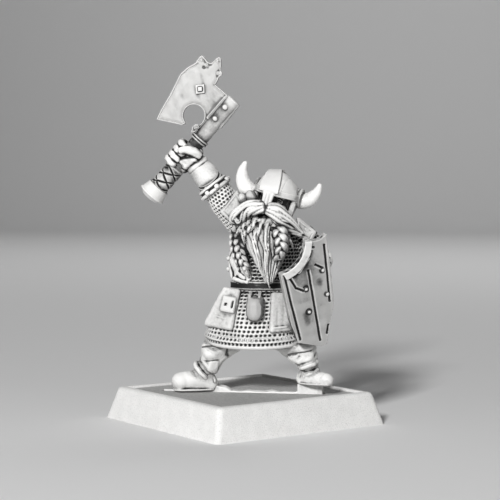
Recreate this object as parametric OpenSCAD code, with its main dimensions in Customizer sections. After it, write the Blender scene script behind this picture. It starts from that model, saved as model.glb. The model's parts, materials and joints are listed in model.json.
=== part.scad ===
// Axe-and-shield warrior miniature on a slotted square base.
// Millimetres, +Z up. The origin is the middle of the base's underside.
// The slot runs along X, the warrior faces -Y and the warrior's left is +X.

/* [Base] */
// Side of the square base along its bottom edge
base_side = 25; // [24:0.5:27]
// Side of the square base along its top edge
base_top_side = 22.8; // [22:0.1:23.4]
// Height of the base
base_height = 3.9; // [3.7:0.1:4.1]
// Depth of the dished top below its rim
dish_depth = 0.3; // [0.1:0.05:0.4]
// Width of the rim round the dished top
rim_width = 0.9; // [0.6:0.1:1.2]
// Wall thickness of the hollow base
base_wall = 1.3; // [1:0.1:1.6]
// Length of the slot across the base
slot_length = 20.4; // [19.9:0.1:21]
// Width of the slot
slot_width = 1.5; // [1.4:0.05:1.8]

/* [Tab] */
// Length of the cast tab
tab_length = 15.6; // [15.2:0.1:15.8]
// Thickness of the cast tab
tab_thickness = 1.36; // [1.2:0.02:1.38]
// How far the tab reaches below the dished top
tab_depth = 3; // [2.5:0.1:3.2]

/* [Figure] */
// Radius of the helmet bowl
helmet_radius = 2.75; // [2.6:0.05:2.8]
// Half the width of the mail skirt at its hem
hem_half_width = 6.3; // [6:0.1:6.5]
// Half the depth of the mail skirt at its hem
hem_half_depth = 4.4; // [4.2:0.1:4.5]
// Radius of the raised arm's mail sleeve
sleeve_radius = 1.9; // [1.7:0.05:2]

/* [Axe] */
// Radius of the axe haft
haft_radius = 0.95; // [0.85:0.05:1]
// Length of the haft from the pommel to the top of the axe head
haft_length = 15.2; // [15:0.1:15.4]
// Lean of the haft from the vertical, in degrees
haft_lean = 41.8; // [40:0.2:43]
// Thickness of the axe blade
blade_thickness = 0.7; // [0.5:0.05:0.8]

/* [Shield] */
// Thickness of the shield board
board_thickness = 0.9; // [0.8:0.05:1]
// Height of the raised rim above the board's face
shield_rim_height = 0.2; // [0.1:0.05:0.3]
// Radius of the peg that carries the shield
peg_radius = 0.55; // [0.5:0.05:0.6]
// Radial clearance of the peg in the shield's socket
peg_clearance = 0.05; // [0.02:0.01:0.1]

/* [Hidden] */

ball_fn = 18;
floor_z = base_height - dish_depth;
tab_top = floor_z + 0.15;
left_sole = tab_top + 1;
tab_start = -5.7;

// Colours of the finish
primer = "whitesmoke";
plastic = "gainsboro";
shadow = "silver";
pewter = "slategray";

// Places on the figure
waist = [2.4, -0.4, 16.6];
hem = [1.6, -0.6, 10.7];
hem_tilt = 10;
chest = [3.2, -0.4, 21.4];
right_shoulder = [-0.5, 0.1, 25];
sleeve_end = [-3.5, -0.5, 28.8];
gauntlet_end = [-6, -0.9, 32.2];
left_shoulder = [7.2, -0.7, 23.4];
left_elbow = [9.8, -0.9, 19.9];
left_hand = [7.8, -3.1, 16.9];
head_centre = [4.2, -2.3, 26.4];
head_turn = -8;
head_roll = 15;
grip_foot = [-11, -1, 28.3];
shield_centre = [9.3, -5.7, 16.1];
shield_turn = [15, 0, 30];
shield_roll = -16;

// ---- helpers ----

// A chain of balls, each [x, y, z, radius], skinned pair by pair.
module limb(balls) {
    for (i = [0:len(balls) - 2])
        hull()
            for (b = [balls[i], balls[i + 1]])
                translate([b[0], b[1], b[2]]) sphere(r = b[3], $fn = ball_fn);
}

// One convex skin over every ball, each [x, y, z, radius].
module blob(balls) {
    hull()
        for (b = balls)
            translate([b[0], b[1], b[2]]) sphere(r = b[3], $fn = ball_fn);
}

// A thin oval slice at a place, used to loft the clothes.
module oval(place, half_width, half_depth, height = 0.4) {
    translate(place) scale([half_width, half_depth, 1]) cylinder(r = 1, h = height, $fn = 36);
}

// A square block whose four sides lean in evenly.
module frustum(bottom, top, height) {
    lean = atan((bottom - top) / 2 / height);
    difference() {
        translate([-bottom / 2, -bottom / 2, 0]) cube([bottom, bottom, height]);
        for (side = [0:90:270])
            rotate([0, 0, side])
                translate([bottom / 2, -bottom, 0])
                    rotate([0, -lean, 0])
                        cube([bottom, 2 * bottom, 2 * height]);
    }
}

// Places children in the head's own frame: -Y is the face, +Z the crown.
module on_head() {
    translate(head_centre) rotate([0, head_roll, 0]) rotate([0, 0, head_turn]) children();
}

// Places children in the axe's own frame: +Z runs up the haft and -X points to the edge.
module on_axe() {
    translate(grip_foot) rotate([0, haft_lean, 0]) children();
}

// Places children in the shield's own frame: -Y is its face and +Z its top.
module on_shield() {
    translate(shield_centre) rotate(shield_turn) rotate([0, shield_roll, 0]) children();
}

// Turns children so that +Z runs from one place to another.
module aim(from, to) {
    run = to - from;
    flat = norm([run[0], run[1]]);
    translate(from)
        rotate([0, atan2(flat, run[2]), atan2(run[1], run[0])])
            children();
}

// Places children at the middle of the mail's hem, which hangs lower in front.
module at_hem() {
    translate(hem) rotate([hem_tilt, 0, 0]) children();
}

// ---- base ----

// Hollow plastic base with a dished top and a slot for the tab.
module slotted_base() {
    slope = (base_side - base_top_side) / base_height;
    deck = 1.2;
    inner_height = floor_z - deck;
    inner_bottom = base_side - 2 * base_wall;
    dish_side = base_top_side - 2 * rim_width;
    color(plastic)
        difference() {
            rotate([0, 0, 45])
                difference() {
                    frustum(base_side, base_top_side, base_height);
                    translate([0, 0, -0.001])
                        frustum(inner_bottom, inner_bottom - slope * inner_height, inner_height);
                    translate([-dish_side / 2, -dish_side / 2, floor_z])
                        cube([dish_side, dish_side, 2 * dish_depth]);
                }
            translate([-slot_length / 2, -slot_width / 2, inner_height - 1])
                cube([slot_length, slot_width, base_height]);
        }
}

// Tab cast under the feet, with the hump of its casting gate and the left foot's riser.
module cast_tab() {
    gate_radius = 2.8;
    gate_place = [-3.2, tab_thickness / 2, tab_top + 0.6 - gate_radius];
    color(pewter)
        union() {
            translate([tab_start, -tab_thickness / 2, floor_z - tab_depth])
                cube([tab_length, tab_thickness, tab_depth + tab_top - floor_z]);
            intersection() {
                translate(gate_place)
                    rotate([90, 0, 0])
                        cylinder(r = gate_radius, h = tab_thickness, $fn = 48);
                translate([-8, -2, tab_top - 1]) cube([8, 4, 3]);
            }
            translate([6.8, -tab_thickness / 2, tab_top - 0.5])
                cube([tab_start + tab_length - 6.8, tab_thickness, left_sole - tab_top + 0.5]);
        }
}

// ---- legs ----

// Keeps only what lies above the sole.
module above(sole) {
    intersection() {
        children();
        translate([-20, -20, sole]) cube([40, 40, 20]);
    }
}

module right_boot() {
    color(primer)
        above(tab_top)
            blob([[-4.1, -0.3, 4.6, 1], [-5.8, -1, 5, 1.3], [-7.5, -1.6, 4.95, 1.2], [-4.8, -0.7, 5.9, 1.1]]);
}

module left_boot() {
    color(primer)
        above(left_sole)
            blob([[7.6, -0.3, 5.5, 1], [8.9, -1, 5.5, 1.15], [10.5, -1.5, 5.4, 0.95], [8.2, -0.7, 6, 1.05]]);
}

module right_boot_cuff() {
    color(primer) blob([[-5, -0.9, 6.3, 1.25], [-4.3, -0.9, 6.9, 1.3]]);
}

module left_boot_cuff() {
    color(primer) blob([[8.4, -0.8, 6.4, 1.05], [8.2, -0.9, 7.1, 1.15]]);
}

module right_trouser_leg() {
    color(primer)
        limb([[-0.8, -0.6, 11.2, 2.1], [-3.5, -1.1, 8.6, 1.65], [-4, -0.9, 7.2, 1.25]]);
}

module left_trouser_leg() {
    color(primer)
        limb([[4.8, -0.6, 11, 2.1], [7.4, -1.1, 9.1, 1.75], [8.2, -0.9, 7.6, 1.25]]);
}

// ---- body ----

module mail_skirt() {
    color(shadow)
        hull() {
            oval(waist - [0, 0, 0.4], 3.7, 2.9);
            oval([1.9, -0.6, 12.8], hem_half_width - 0.6, hem_half_depth - 0.5);
            at_hem() oval([0, 0, 0.6], hem_half_width - 0.2, hem_half_depth - 0.2);
        }
}

// Rolled edge along the bottom of the mail.
module mail_hem() {
    color(shadow)
        at_hem()
            hull() {
                oval([0, 0, 0], hem_half_width, hem_half_depth, 0.6);
                oval([0, 0, -0.5], hem_half_width - 0.7, hem_half_depth - 0.7, 0.3);
            }
}

module torso() {
    color(shadow)
        hull() {
            oval(waist, 3.5, 2.7);
            oval(chest, 4.1, 2.9);
            oval(chest + [0.1, -0.2, 3], 3.7, 2.3);
        }
}

module waist_belt() {
    color(primer)
        difference() {
            oval(waist + [0, 0, -0.1], 3.95, 3.15, 0.9);
            oval(waist + [0, 0, -0.2], 3.4, 2.6, 1.2);
        }
}

module belt_pouch() {
    color(primer) blob([[2.2, -4.6, 15, 0.75], [2.2, -4.8, 13.9, 0.95], [2.2, -4.5, 15.6, 0.5]]);
}

// Satchel hanging at the right hip: a box of leather with a flap.
module hip_satchel() {
    color(primer)
        blob([[-1.2, -3.2, 16.3, 0.5], [0.1, -3.6, 16.1, 0.5], [-3.9, -2.5, 12.2, 0.55], [-0.9, -4.3, 11.8, 0.5],
            [-2.2, -2.2, 15.6, 0.5]]);
}

module satchel_buckle() {
    color(primer)
        blob([[-1.6, -3.6, 15.5, 0.35], [-0.4, -4, 15.3, 0.35], [-1.9, -3.9, 14.1, 0.35], [-0.6, -4.4, 13.9, 0.35]]);
}

module left_tasset() {
    color(primer)
        blob([[4.3, -3.7, 16, 0.4], [5.7, -3, 15.9, 0.4], [4.2, -4.7, 11.7, 0.4], [6.3, -3.8, 11.9, 0.4]]);
}

// Leather vest over the right side of the ribs.
module vest_flank() {
    color(primer)
        blob([[0.1, -2.2, 17.5, 0.8], [-0.6, -1.8, 20, 0.9], [0.2, -1.9, 22.6, 0.9], [1, -2.7, 18.5, 0.8]]);
}

// Two round studs on the vest's edge.
module vest_studs() {
    color(primer)
        for (z = [18.9, 20.2])
            translate([-1.4, -1.9, z]) sphere(r = 0.4, $fn = 24);
}

module right_pauldron() {
    color(primer)
        blob([[-0.45, -1.7, 28.2, 0.28], [-2.2, -2.25, 25.9, 0.28], [-0.9, -2.7, 24.8, 0.3],
            [0.95, -2.9, 26.2, 0.3], [0.3, -0.6, 27, 0.5], [-0.6, 0.8, 26.2, 0.5]]);
}

module left_pauldron() {
    color(primer)
        blob([[7.1, -2.3, 24.95, 0.28], [9, -2.1, 23.4, 0.28], [8.6, -2.5, 22.5, 0.28],
            [7.2, -3.2, 23.2, 0.28], [6.9, 0.3, 24.2, 0.4], [8.2, 0.3, 23, 0.4]]);
}

// ---- arms ----

module right_mail_sleeve() {
    color(shadow)
        blob([[right_shoulder[0], right_shoulder[1], right_shoulder[2], sleeve_radius + 0.1],
            [sleeve_end[0], sleeve_end[1], sleeve_end[2], sleeve_radius - 0.2]]);
}

// Flared cuff where the gauntlet meets the mail.
module right_gauntlet_cuff() {
    color(primer)
        aim(sleeve_end, gauntlet_end)
            translate([0, 0, -0.35])
                cylinder(r1 = 2.15, r2 = 1.8, h = 1, $fn = 48);
}

module right_gauntlet() {
    color(primer)
        aim(sleeve_end, gauntlet_end)
            translate([0, 0, 0.4])
                cylinder(r1 = 1.75, r2 = 1.35, h = 3.6, $fn = 48);
}

// Fist closed round the haft.
module right_fist() {
    color(primer)
        on_axe() blob([[0, -0.2, 4.9, 1.5], [-0.3, -0.1, 7.4, 1.5], [0.5, 0.3, 6.4, 1.4]]);
}

module left_arm() {
    color(shadow)
        limb([[left_shoulder[0], left_shoulder[1], left_shoulder[2], 1.6],
            [left_elbow[0], left_elbow[1], left_elbow[2], 1.3],
            [left_hand[0], left_hand[1], left_hand[2], 0.95]]);
}

module left_fist() {
    color(primer)
        translate(left_hand) sphere(r = 1.15, $fn = 32);
}

// Peg cast on the left fist, square to the shield.
module shield_peg() {
    color(pewter)
        on_shield()
            translate([0, 2.8, 0])
                rotate([90, 0, 0])
                    cylinder(r = peg_radius, h = 1.8, $fn = 32);
}

// ---- head ----

module head() {
    color(primer)
        on_head() blob([[0, 0.3, 1, 2.3], [0, -0.4, -0.8, 1.6]]);
}

module nose() {
    color(primer)
        on_head() blob([[-0.1, -2, 1, 0.4], [-0.2, -2.5, 0.1, 0.45]]);
}

module beard() {
    color(primer)
        blob([[1.4, -3.2, 23.4, 1.4], [5.2, -3, 23.4, 1.4], [3.2, -4, 21, 1.7], [3.1, -4.2, 18.6, 1.1], [3.3, -4.3, 16.8, 0.5]]);
}

module right_moustache() {
    color(primer) limb([[3.2, -4.9, 26.4, 0.55], [1.3, -4.4, 25.6, 0.75], [-0.4, -3.7, 24.9, 0.5]]);
}

module left_moustache() {
    color(primer) limb([[3.6, -4.9, 26.4, 0.55], [5.3, -4.5, 25, 0.8], [7, -3.9, 23.6, 0.45]]);
}

module right_braid() {
    color(primer) limb([[0.3, -3.3, 23.7, 0.75], [0, -3.7, 21.2, 0.7], [0.6, -3.6, 18.8, 0.4]]);
}

module left_braid() {
    color(primer) limb([[5.4, -3.9, 23.6, 0.75], [5.7, -4.1, 21.5, 0.7], [5, -4.3, 19.4, 0.4]]);
}

module cheek_guard(side) {
    color(primer)
        on_head() blob([[side * 2.4, -0.9, 1.3, 0.35], [side * 2.4, 0.4, 1.2, 0.35], [side * 2.3, -0.8, -0.9, 0.35]]);
}

module right_cheek_guard() cheek_guard(-1);

module left_cheek_guard() cheek_guard(1);

// Bowl of the helmet, drawn up to a low point that leans to one side.
module helmet_bowl() {
    color(primer)
        on_head()
            hull() {
                translate([0, 0, 1.5]) cylinder(r = helmet_radius, h = 0.6, $fn = 36);
                translate([-0.1, 0, 2.6]) cylinder(r = helmet_radius * 0.9, h = 0.2, $fn = 36);
                translate([-0.3, 0, 3.5]) cylinder(r = helmet_radius * 0.66, h = 0.2, $fn = 36);
                translate([-0.6, 0, 4.3]) cylinder(r = helmet_radius * 0.26, h = 0.2, $fn = 36);
            }
}

// Raised band from the brow over the crown.
module helmet_crest() {
    color(primer)
        on_head()
            hull() {
                translate([-1.1, -helmet_radius - 0.1, 1.6]) cube([1.8, 2 * helmet_radius + 0.2, 0.5]);
                translate([-1.1, -1.8, 3.5]) cube([1.7, 3.6, 0.2]);
                translate([-1.1, -0.6, 4.35]) cube([1.2, 1.2, 0.2]);
            }
}

module helmet_brow_band() {
    color(primer)
        on_head()
            translate([0, 0, 1.5])
                cylinder(r = helmet_radius + 0.2, h = 0.7, $fn = 48);
}

module nasal_guard() {
    color(primer)
        on_head()
            translate([-0.85, -helmet_radius - 0.45, -0.1])
                cube([1.1, 0.8, 1.9]);
}

// The horns leave the bowl level and curve up to their points.
module right_horn() {
    color(primer)
        limb([[1.5, -2.6, 28.2, 0.95], [0.8, -2.6, 28.8, 0.95], [0.4, -2.6, 29.7, 0.8],
            [0.4, -2.6, 30.8, 0.55], [0.8, -2.6, 31.9, 0.15]]);
}

module left_horn() {
    color(primer)
        limb([[6.9, -1.9, 27.3, 0.95], [7.8, -1.9, 27.2, 0.9], [8.6, -1.9, 27.5, 0.8],
            [9.3, -1.9, 28.2, 0.55], [9.7, -1.9, 29.2, 0.15]]);
}

module horn_collar(side) {
    color(primer)
        on_head()
            translate([side * 2.3, 0.2, 1.9])
                rotate([0, side * 90, 0])
                    cylinder(r = 1.1, h = 0.8, $fn = 36);
}

module right_horn_collar() horn_collar(-1);

module left_horn_collar() horn_collar(1);

// ---- axe ----

module axe_haft() {
    color(primer) on_axe() cylinder(r = haft_radius, h = haft_length, $fn = 36);
}

// Leather wound over the grip.
module grip_wrap() {
    color(primer) on_axe() translate([0, 0, 0.8]) cylinder(r = haft_radius + 0.27, h = 3.2, $fn = 36);
}

module axe_pommel() {
    color(primer)
        on_axe()
            union() {
                translate([0, 0, -0.5]) cylinder(r1 = 1.74, r2 = 1.4, h = 1.4, $fn = 48);
                translate([0, 0, -0.95]) cylinder(r1 = 1.1, r2 = 1.74, h = 0.45, $fn = 48);
            }
}

module haft_collar() {
    color(primer) on_axe() translate([0, 0, 8.3]) cylinder(r = haft_radius + 0.25, h = 0.55, $fn = 36);
}

// Outline of the axe head, with the edge to -X and the haft at x = 0.
module axe_outline() {
    difference() {
        polygon([[1.1, 11.5], [0.95, 15], [-3, 14.9], [-3.15, 15.6], [-3.5, 16.35], [-3.9, 17], [-4.6, 17.75],
            [-4.9, 17.75], [-5, 17.1], [-5.1, 16.5], [-5.6, 16.35], [-6.3, 16.5], [-6.65, 16.5], [-6.7, 16],
            [-6.6, 15.3], [-7, 14.2], [-7.15, 13], [-6.75, 11.5], [-6.4, 10.1], [-6.1, 8.4], [-5.7, 6.9],
            [-2.85, 8.5], [-2.2, 10], [-1.3, 8.5], [-0.95, 9.2], [1, 11.3]]);
        translate([-2.5, 10.35]) circle(r = 1.36, $fn = 48);
    }
}

module axe_head() {
    color(primer)
        on_axe()
            translate([0, blade_thickness / 2, 0])
                rotate([90, 0, 0])
                    linear_extrude(blade_thickness) axe_outline();
}

// Plain raised lozenge on the blade's face.
module axe_boss() {
    color(primer)
        on_axe()
            translate([-4, -blade_thickness / 2, 13.3])
                rotate([90, 0, 0])
                    translate([-0.65, -0.65, -0.05]) cube([1.3, 1.3, 0.3]);
}

// Two studs that pin the head to the haft.
module axe_studs() {
    color(primer)
        on_axe()
            for (z = [11.9, 13.7])
                translate([-0.1, 0, z])
                    rotate([90, 0, 0])
                        cylinder(r = 0.36, h = 2.5, center = true, $fn = 24);
}

// ---- shield ----

// Outline of the board: two scoops across the top, straight sides, and a blunt foot.
module shield_outline() {
    difference() {
        polygon([[-3.5, 3.6], [-3.4, 0.4], [-3.3, -2.6], [-2.8, -5.5], [0, -6.9], [0.8, -6.7], [2.55, -1.5],
            [2.85, 3], [2.9, 7], [0.7, 7], [-0.8, 7]]);
        translate([-3.3, 7.2]) circle(r = 3.5, $fn = 60);
        translate([1.8, 7.9]) circle(r = 1.4, $fn = 48);
    }
}

module shield_board() {
    color(shadow)
        on_shield()
            translate([0, board_thickness, 0])
                rotate([90, 0, 0])
                    linear_extrude(board_thickness) shield_outline();
}

// Raised border round the face of the board.
module shield_rim() {
    color(primer)
        on_shield()
            rotate([90, 0, 0])
                linear_extrude(shield_rim_height)
                    difference() {
                        shield_outline();
                        offset(delta = -0.45) shield_outline();
                    }
}

module shield_studs() {
    color(primer)
        on_shield()
            for (place = [[-0.7, 1], [1.7, 2.7], [1.8, -0.45], [-0.8, -1.95]])
                translate([place[0], 0, place[1]]) sphere(r = 0.24, $fn = 20);
}

// Ring on the shield's back that takes the peg.
module shield_socket() {
    color(shadow)
        on_shield()
            translate([0, board_thickness + 0.9, 0])
                rotate([90, 0, 0])
                    difference() {
                        cylinder(r = 1.05, h = 0.9, $fn = 40);
                        translate([0, 0, -0.01])
                            cylinder(r = peg_radius + peg_clearance, h = 0.92, $fn = 40);
                    }
}

// Two battens across the back of the board.
module shield_straps() {
    color(shadow)
        on_shield()
            for (z = [-3.4, 2])
                translate([-2.6, board_thickness, z]) cube([4.6, 0.25, 0.7]);
}

slotted_base();
cast_tab();
right_boot();
left_boot();
right_boot_cuff();
left_boot_cuff();
right_trouser_leg();
left_trouser_leg();
mail_skirt();
mail_hem();
torso();
waist_belt();
belt_pouch();
hip_satchel();
satchel_buckle();
left_tasset();
vest_flank();
vest_studs();
right_pauldron();
left_pauldron();
right_mail_sleeve();
right_gauntlet_cuff();
right_gauntlet();
right_fist();
left_arm();
left_fist();
shield_peg();
head();
nose();
beard();
right_moustache();
left_moustache();
right_braid();
left_braid();
right_cheek_guard();
left_cheek_guard();
helmet_bowl();
helmet_crest();
helmet_brow_band();
nasal_guard();
right_horn();
left_horn();
right_horn_collar();
left_horn_collar();
axe_haft();
grip_wrap();
axe_pommel();
haft_collar();
axe_head();
axe_boss();
axe_studs();
shield_board();
shield_rim();
shield_studs();
shield_socket();
shield_straps();
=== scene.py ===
"""A primed metal miniature: a bearded warrior with axe and shield on a slotted base.

Each class is one part of the miniature. It is modelled in millimetres, in the miniature's own
frame, and brought to metres when the piece is settled on its body.
"""

import json
import logging
import math
from dataclasses import dataclass
from enum import Enum
from typing import Callable, Iterable, Sequence

import bmesh
import bpy
import numpy as np
from bmesh.types import BMesh, BMVert
from bpy.types import Mesh, NodeSocket
from mathutils import Matrix, Vector

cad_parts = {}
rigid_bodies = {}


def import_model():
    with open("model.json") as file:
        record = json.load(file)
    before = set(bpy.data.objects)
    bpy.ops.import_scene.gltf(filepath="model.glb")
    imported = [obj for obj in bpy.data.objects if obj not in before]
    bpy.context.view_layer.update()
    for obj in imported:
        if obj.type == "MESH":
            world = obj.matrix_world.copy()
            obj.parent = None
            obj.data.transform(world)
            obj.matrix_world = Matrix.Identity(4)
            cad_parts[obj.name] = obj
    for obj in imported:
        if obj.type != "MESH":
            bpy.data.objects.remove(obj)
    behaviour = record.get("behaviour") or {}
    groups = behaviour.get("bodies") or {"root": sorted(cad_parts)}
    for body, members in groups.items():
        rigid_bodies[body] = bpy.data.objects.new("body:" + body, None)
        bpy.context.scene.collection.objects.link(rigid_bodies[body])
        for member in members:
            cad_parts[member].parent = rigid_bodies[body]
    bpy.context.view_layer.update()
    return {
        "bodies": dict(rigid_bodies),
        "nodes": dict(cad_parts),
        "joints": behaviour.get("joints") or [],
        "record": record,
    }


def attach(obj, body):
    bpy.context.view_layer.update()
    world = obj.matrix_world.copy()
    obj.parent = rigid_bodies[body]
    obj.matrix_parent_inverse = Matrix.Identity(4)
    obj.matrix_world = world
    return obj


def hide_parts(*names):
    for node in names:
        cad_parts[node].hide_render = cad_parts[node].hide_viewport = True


log = logging.getLogger("miniature")

Point = Sequence[float]
Line = Sequence[Point]
Array = np.ndarray
Relief = Callable[[Array, Array], Array]
TO_METRES = Matrix.Scale(0.001, 4)
NARROW, WIDE = 0.2, 0.8  # widths in millimetres of the hollows that settle() looks for


class Body(str, Enum):
    """The three loose pieces of the miniature."""

    BASE = "base"
    FIGURE = "figure"
    SHIELD = "shield"


class Side(Enum):
    """The warrior's own right and left, as the sign of the head's X."""

    RIGHT = -1
    LEFT = 1

    @property
    def word(self) -> str:
        """The side's name as the pieces use it."""
        return "right" if self is Side.RIGHT else "left"


def turn(x: float = 0, y: float = 0, z: float = 0) -> Matrix:
    """Turns about X, then Y, then Z, in degrees."""
    spin = Matrix.Rotation(math.radians(z), 4, "Z") @ Matrix.Rotation(math.radians(y), 4, "Y")
    return spin @ Matrix.Rotation(math.radians(x), 4, "X")


def aim(start: Point, end: Point) -> Matrix:
    """The frame at start whose Z points to end."""
    way = Vector(end) - Vector(start)
    return Matrix.Translation(start) @ way.to_track_quat("Z", "Y").to_matrix().to_4x4()


HEAD = Matrix.Translation((4.2, -2.3, 26.4)) @ turn(y=15) @ turn(z=-8)
AXE = Matrix.Translation((-11, -1, 28.3)) @ turn(y=41.8)
SHIELD = Matrix.Translation((9.3, -5.7, 16.1)) @ turn(x=15, z=30) @ turn(y=-16)
HEM = Matrix.Translation((1.6, -0.6, 10.7)) @ turn(x=10)
UNTURNED = Matrix.Identity(4)


# ---- modelling bench ----


def moved(points: Array, place: Matrix) -> Array:
    """Carries places through a frame."""
    move = np.array(place)
    return points @ move[:3, :3].T + move[:3, 3]


def as_mesh(bm: BMesh, name: str) -> Mesh:
    """Turns a bmesh into a named mesh and uses it up."""
    mesh = bpy.data.meshes.new(name)
    bm.to_mesh(mesh)
    bm.free()
    return mesh


def rounded(bm: BMesh, edges: Iterable, offset: float, segments: int = 3) -> dict:
    """Rounds edges off."""
    return bmesh.ops.bevel(bm, geom=list(edges), offset=offset, segments=segments, profile=0.5, affect="EDGES",
                           material=-1)


def shown(name: str, data: bpy.types.ID) -> bpy.types.Object:
    """Makes an object of some data and puts it in the scene."""
    made = bpy.data.objects.new(name, data)
    bpy.context.scene.collection.objects.link(made)
    return made


def corners_of(made: dict) -> list[BMVert]:
    """The vertices among what an extrusion made."""
    return [item for item in made["geom"] if isinstance(item, BMVert)]


def ease(low: float, high: float, value: Array) -> Array:
    """Rises smoothly from 0 at low to 1 at high."""
    t = np.clip((value - low) / (high - low), 0.0, 1.0)
    return t * t * (3.0 - 2.0 * t)


def ripple(points: Array, size: float, seed: int, waves: int = 9) -> Array:
    """A soft irregular field between about -1 and 1.

    Args:
        points: places to read it at, in millimetres, shape (n, 3).
        size: the usual distance from one swell to the next.
        seed: picks one field out of many.
        waves: how many plane waves are mixed.

    Returns:
        One value for each place.
    """
    dice = np.random.default_rng(seed)
    ways = dice.normal(size=(waves, 3))
    ways /= np.linalg.norm(ways, axis=1)[:, None]
    ways *= dice.uniform(0.6, 1.6, (waves, 1)) * 2 * math.pi / size
    shifts = dice.uniform(0, 2 * math.pi, waves)
    return np.sin(points @ ways.T + shifts).sum(axis=1) / math.sqrt(waves)


def smooth_line(points: Line, count: int) -> Array:
    """Runs a smooth line through the points and samples it at even steps.

    Args:
        points: rows of any width, the first three being a place.
        count: how many rows to return.

    Returns:
        The sampled rows, with the extra columns carried along.
    """
    rows = np.array(points, float)
    rows = np.vstack([2 * rows[0] - rows[1], rows, 2 * rows[-1] - rows[-2]])
    steps = np.linspace(0, 1, 16, endpoint=False)[:, None]
    dense = []
    for a, b, c, d in zip(rows, rows[1:], rows[2:], rows[3:]):
        dense.append(0.5 * (2 * b + (c - a) * steps + (2 * a - 5 * b + 4 * c - d) * steps**2
                            + (3 * b - a - 3 * c + d) * steps**3))
    dense = np.vstack(dense + [rows[-2:-1]])
    run = np.concatenate([[0], np.cumsum(np.linalg.norm(np.diff(dense[:, :3], axis=0), axis=1))])
    even = np.linspace(0, run[-1], count)
    return np.column_stack([np.interp(even, run, column) for column in dense.T])


def wrap(bm: BMesh, rings: Array) -> None:
    """Wraps a grid round a stack of rings and closes its seam and its ends.

    Args:
        bm: the mesh that takes the skin.
        rings: places in millimetres, shape (rings, around, 3); each ring is closed.
    """
    tall, around = rings.shape[:2]
    grid = bmesh.ops.create_grid(bm, x_segments=around, y_segments=tall - 1, size=1)["verts"]
    flat = np.array([v.co[:2] for v in grid])
    flat = (flat - flat.min(axis=0)) / (flat.max(axis=0) - flat.min(axis=0))
    column = np.rint(flat[:, 0] * around).astype(int)
    row = np.rint(flat[:, 1] * (tall - 1)).astype(int)
    for vert, place in zip(grid, rings[row, column % around]):
        vert.co = place
    edge = (column == 0) | (column == around) | (row == 0) | (row == tall - 1)
    seam = [vert for vert, on in zip(grid, edge) if on]
    bmesh.ops.remove_doubles(bm, verts=seam, dist=1e-5)


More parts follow.
